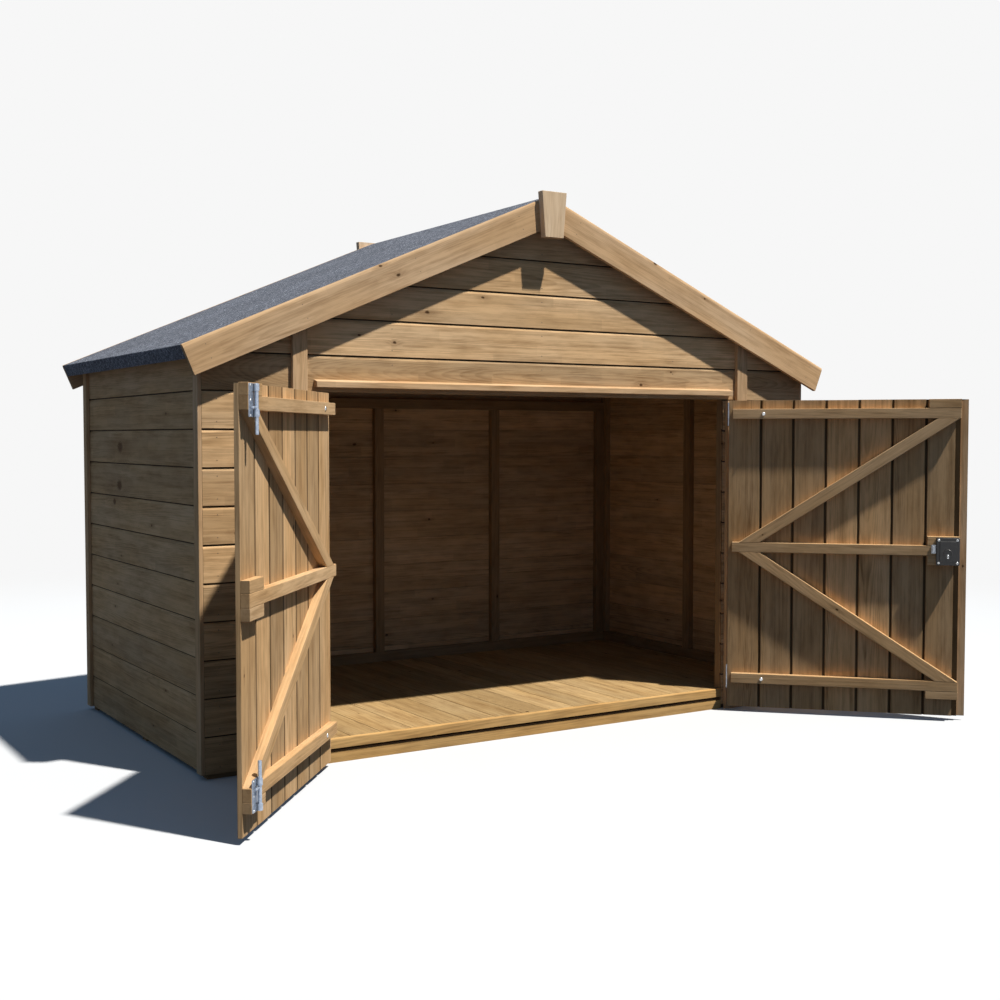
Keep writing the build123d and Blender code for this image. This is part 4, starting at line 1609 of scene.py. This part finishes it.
def makeBoltPlates(turn, x, y, radius):
    # each plate has two staples, six screws and four dark discs of painted shade where open holes would
    # be
    b = bolts
    plates, heads, recessShades = newStack(), newStack(), newStack()
    for low, high in solidBoxes("bolt_plates", turn):
        way = -1 if high[2] > b["upperFrom"] else 1
        face = low[1]
        middle = np.array([x, face, (low[2] + high[2]) / 2])
        half = (high - low) / 2
        addPlate(plates, plateOutline(half[0], half[2], b["plateCorner"], 5), middle, *inward,
                 b["plateThickness"], 0.0005, figure={"joint": np.array([b["plateDirt"]])})
        end, tail = (high[2], low[2]) if way < 0 else (low[2], high[2])
        starts = (end + way * b["stapleInset"], tail - way * (b["stapleInset"] + b["stapleLength"]))
        spans = [(start, start + way * b["stapleLength"]) for start in starts]
        addStaples(plates, x, y - face, face, spans, radius)
        top = middle + yAxis * b["plateThickness"]
        for across in (-1, 1):
            aside = xAxis * across * (half[0] - b["screwInset"][0])
            for height in (b["screwInset"][1] - half[2], 0.0, half[2] - b["screwInset"][1]):
                addScrew(heads, recessShades, top + aside + zAxis * height, *inward, *b["screwSize"])
            # painted shade: dark discs on the plate for open holes
            for height in (-1, 1):
                spot = top + xAxis * across * b["holeSpot"][0] + zAxis * height * b["holeSpot"][1]
                addPlate(recessShades, ringOutline(b["holeRadius"], 16), spot, *inward,
                         0.0001, 0.00003, 0.0002)
    finishPiece("tower_bolt_plates", plates, "zincSteel",
                "bolt_plates", "left_door", turn)
    finishPiece("tower_bolt_screws", heads, "screwSteel", None, "left_door", turn)
    finishPiece("tower_bolt_recesses", recessShades, "darkRecess", None, "left_door", turn)


def makeBolts():
    # a bar is a turned rod, and its knob a short pin with a rounded head towards the free edge
    b = bolts
    turn = restTurn("left_door_hinge")
    x, y = boltLine()
    low, high = solidBoxes("top_bolt", turn)[0]
    radius = (high[1] - low[1]) / 2
    makeBoltPlates(turn, x, y, radius)
    for name, way in (("top", -1), ("bottom", 1)):
        low, high = solidBoxes(name + "_bolt", turn)[0]
        plate = [box for box in solidBoxes("bolt_plates", turn)
                 if (box[1][2] > b["upperFrom"]) == (way < 0)][0]
        tail = plate[0][2] if way < 0 else plate[1][2]
        tall = high[2] - low[2]
        stack = newStack()
        addTurned(stack, [(radius - 0.0016, 0), (radius - 0.0004, 0.0006), (radius, 0.0020),
                          (radius, tall - 0.0020), (radius - 0.0004, tall - 0.0006),
                          (radius - 0.0016, tall)], [x, y, low[2]], zAxis, 28)
        knobZ = tail - way * (b["stapleInset"] + b["stapleLength"] + b["knobDrop"])
        root = x + radius - 0.002
        length = high[0] - root
        addTurned(stack, [(0.0029, 0), (0.0029, length * 0.62), (0.0034, length * 0.70),
                          (0.0035, length * 0.90), (0.0028, length * 0.975), (0.0014, length)],
                  [root, y, knobZ], xAxis, 20)
        finishPiece(name + "_bolt_bar", stack, "zincSteel",
                    name + "_bolt", name + "_bolt", turn)


makeBolts()
print("bolts made")


# ---- lock, latch, keyhole plate and the strip over the joint, on the right leaf

lock = {
    "base": 0.0115,  # thickness of the case's plate
    "caseCorner": 0.005,
    "panel": 0.0145,
    "panelShare": (0.70, 0.74),  # width and height of the raised panel, of the case's
    "roseRadius": 0.0170,
    "roseDrop": 0.0080,  # centre of the round rose below the middle
    "slotDrop": 0.0190,
    "slotHalf": (0.0032, 0.0085),
    "screwInset": 0.0095,
    "latchCorner": 0.0025,
    "latchBase": 0.45,  # share of the latch's depth that its plate takes
    "latchShare": (0.66, 0.72),
    "keyCorner": 0.62,  # of the keyhole plate's half width
    "keyholeRadius": 0.0042,
    "stripTone": 0.30,
}


def middleOf(node, turn):
    # middle, half size and both corners of a node's only solid
    low, high = solidBoxes(node, turn)[0]
    return (low + high) / 2, (high - low) / 2, low, high


def makeLockCase(turn):
    # a plate, a raised panel on it and a round rose round the key slot
    middle, half, low, _ = middleOf("door_lock", turn)
    origin = np.array([middle[0], low[1], middle[2]])
    panel = lock["panel"]
    case = newStack()
    outline = plateOutline(half[0], half[2], lock["caseCorner"], 6)
    addPlate(case, outline, origin, *inward, lock["base"], 0.0016)
    addPlate(case, outline * np.array(lock["panelShare"]), origin, *inward, panel, 0.0014)
    r = lock["roseRadius"]
    addTurned(case, [(r, 0.002), (r, panel + 0.0016), (r - 0.0012, panel + 0.0026),
                     (r - 0.0042, panel + 0.0026), (r - 0.0052, panel + 0.0012)],
              origin - zAxis * lock["roseDrop"], yAxis, 40)
    finishPiece("lock_case", case, "blackEnamel", "door_lock", "right_door", turn)
    heads, recessShades = newStack(), newStack()
    for sx in (-1, 1):
        for sz in (-1, 1):
            spot = origin + np.array([sx * (half[0] - lock["screwInset"]), lock["base"],
                                      sz * (half[2] - lock["screwInset"])])
            addScrew(heads, recessShades, spot, *inward, 0.0050, 0.0026)
    # key slot: a steel pill with a slit of painted shade
    pill = plateOutline(*lock["slotHalf"], 0.0031, 6)
    slot = origin - zAxis * lock["slotDrop"] + yAxis * (panel - 0.001)
    addPlate(heads, pill, slot, *inward, 0.0040, 0.0006)
    addPlate(recessShades, pill * np.array([0.28, 0.62]), slot + yAxis * 0.0038, *inward, 0.0004, 0.0001)
    finishPiece("lock_screws", heads, "screwSteel", None, "right_door", turn)
    finishPiece("lock_recesses", recessShades, "darkRecess", None, "right_door", turn)


def makeLatch(turn):
    # a plate with a smaller block raised on it
    middle, half, low, high = middleOf("lock_latch", turn)
    deep = high[1] - low[1]
    spot = [middle[0], low[1], middle[2]]
    stack = newStack()
    outline = plateOutline(half[0], half[2], lock["latchCorner"], 4)
    addPlate(stack, outline, spot, *inward, deep * lock["latchBase"], 0.0006)
    addPlate(stack, outline * np.array(lock["latchShare"]), spot, *inward, deep, 0.0012)
    finishPiece("latch_piece", stack, "greySteel", "lock_latch", "right_door", turn)


def makeKeyholePlate(turn):
    # outside: a rounded plate with a round hole over a slot that widens downwards, both near-black
    # inlays of painted shade
    middle, half, low, high = middleOf("keyhole_plate", turn)
    deep = high[1] - low[1]
    origin = np.array([middle[0], high[1], middle[2]])
    stack, heads, recessShades = newStack(), newStack(), newStack()
    addPlate(stack, plateOutline(half[0], half[2], half[0] * lock["keyCorner"], 8), origin,
             *outward, deep, 0.0006)
    face = origin - yAxis * (deep - 0.0001)
    slot = np.array([(-0.0015, 0.004), (0.0015, 0.004), (0.0026, -0.011), (-0.0026, -0.011)])
    addPlate(recessShades, ringOutline(lock["keyholeRadius"], 20, (0, 0.004)), face, *outward,
             0.0002, 0.00005)
    addPlate(recessShades, slot, face, *outward, 0.00025, 0.00005)
    for sz in (-1, 1):
        addScrew(heads, recessShades, face + zAxis * sz * (half[2] - 0.008), *outward, 0.0030, 0.0012)
    finishPiece("keyhole_cover", stack, "blackEnamel",
                "keyhole_plate", "right_door", turn)
    finishPiece("keyhole_recesses", recessShades, "darkRecess", None, "right_door", turn)
    finishPiece("keyhole_screws", heads, "screwSteel", None, "right_door", turn)


def makeCoverStrip(turn):
    # rebated where it laps over the left leaf, and chamfered on its face
    low, high = solidBoxes("door_cover_strip", turn)[0]
    wide, deep, _ = high - low
    leafEdge = 0.003 - low[0]
    section = rounded([
        (0, 0.005), (leafEdge, 0.005), (leafEdge, 0), (wide, 0), (wide, deep - 0.004),
        (wide - 0.006, deep), (0.006, deep), (0, deep - 0.004),
    ], [0.0005, 0.0003, 0.0003, 0.0005, 0.001, 0.001, 0.001, 0.001])
    figure = figureOf(np.random.default_rng(81), wide, 0.3, lock["stripTone"])
    stack = newStack()
    addBoard(stack, section, [low[0], high[1], 0], *upright, low[2] + 0.0005,
             high[2] - 0.0005, figure, 0.001)
    finishPiece("door_cover_timber", stack, "trimTimber",
                "door_cover_strip", "right_door", turn)


rightTurn = restTurn("right_door_hinge")
makeLockCase(rightTurn)
makeLatch(rightTurn)
makeKeyholePlate(rightTurn)
makeCoverStrip(rightTurn)
print("lock made")


# ---- stage, light and camera

stage = {
    "floor": (0.695, 0.720, 0.760),
    "floorBounce": (0.060, 0.068, 0.086),  # the floor's colour for indirect rays
    "floorSize": 40.0,  # half of its width
    "backdrop": (0.93, 0.93, 0.93, 1),
    "fadeFrom": 2.6,
    "fadeTo": 6.5,
    "sunRay": (-0.229, 0.395, -0.889),
    "sunStrength": 4.9,
    "sunSpread": math.radians(1.6),
    "sunTint": (1.0, 0.955, 0.875),
    "fill": 0.190,
    "fillTint": (0.45, 0.68, 1.0, 1),
}


def seenDirectly(start):
    # 1 for camera, glossy and transmission rays: straight or mirrored sight of the backdrop
    direct, glossy, through = [start.add("ShaderNodeLightPath", {}, {}, f"Is {kind} Ray")
                               for kind in ("Camera", "Glossy", "Transmission")]
    return maths("MAXIMUM", maths("MAXIMUM", direct, glossy), through)


def makeGround():
    # a pale floor that keeps the shadow and fades into the backdrop with the distance
    mesh = bpy.data.meshes.new("studio_floor")
    size = stage["floorSize"]
    mesh.from_pydata([(-size, -size, 0), (size, -size, 0), (size, size, 0), (-size, size, 0)], [],
                     [(0, 1, 2, 3)])
    ground = inScene("studio_floor", mesh)
    material, start = newMaterial("paleFloor")
    place = objectPlace(start)
    x, y, _ = parts(place)
    seen = seenDirectly(start)
    fade = between((x * x + y * y) ** 0.5, stage["fadeFrom"], stage["fadeTo"]) * seen
    shade = tinted(cloud(place, 1.4), stage["floor"], tuple(c * 0.97 for c in stage["floor"]))
    shade = tinted(seen, stage["floorBounce"], shade)
    plain = start.add("ShaderNodeBsdfDiffuse", {}, {"Color": shade})
    glow = start.add("ShaderNodeEmission", {}, {"Color": stage["backdrop"], "Strength": 1.0})
    mixed = start.add("ShaderNodeMixShader", {}, {0: fade, 1: plain, 2: glow})
    start.add("ShaderNodeOutputMaterial", {}, {"Surface": mixed})
    mesh.materials.append(material)


def makeSky():
    # the backdrop where it is seen, and a blue fill for all other rays
    world = bpy.data.worlds.new("studioSky")
    bpy.context.scene.world = world
    world.use_nodes = True
    tree = world.node_tree
    tree.nodes.clear()
    start = Signal(tree)
    sky, wall = [start.add("ShaderNodeBackground", {}, {"Color": colour, "Strength": strength})
                 for colour, strength in ((stage["fillTint"], stage["fill"]), (stage["backdrop"], 1.0))]
    both = start.add("ShaderNodeMixShader", {}, {0: seenDirectly(start), 1: sky, 2: wall})
    start.add("ShaderNodeOutputWorld", {}, {"Surface": both})


def makeSun():
    # the key light, its rays along sunRay
    light = bpy.data.lights.new("studio_key", "SUN")
    light.energy = stage["sunStrength"]
    light.angle = stage["sunSpread"]
    light.color = stage["sunTint"]
    key = inScene("studio_key", light)
    key.rotation_euler = Vector(stage["sunRay"]).to_track_quat("-Z", "Y").to_euler()


camera = {
    "place": (-2.7768, -4.8334, 1.1146),
    "tilt": -0.0469,  # radians up from level
    "heading": -0.5588,  # radians about +Z, from a view along +Y
    "lens": 48.152,
    "sensor": 36.0,
}


def makeCamera():
    # stands and looks where the photo's camera did
    view = bpy.data.cameras.new("photo_view")
    view.lens = camera["lens"]
    view.sensor_width = camera["sensor"]
    view.clip_end = 200.0
    eye = inScene("photo_view", view)
    eye.location = camera["place"]
    eye.rotation_euler = (math.pi / 2 + camera["tilt"], 0.0, camera["heading"])
    bpy.context.scene.camera = eye


makeGround()
makeSky()
makeSun()
makeCamera()
bpy.context.scene.view_settings.view_transform = "Standard"
print("stage made")
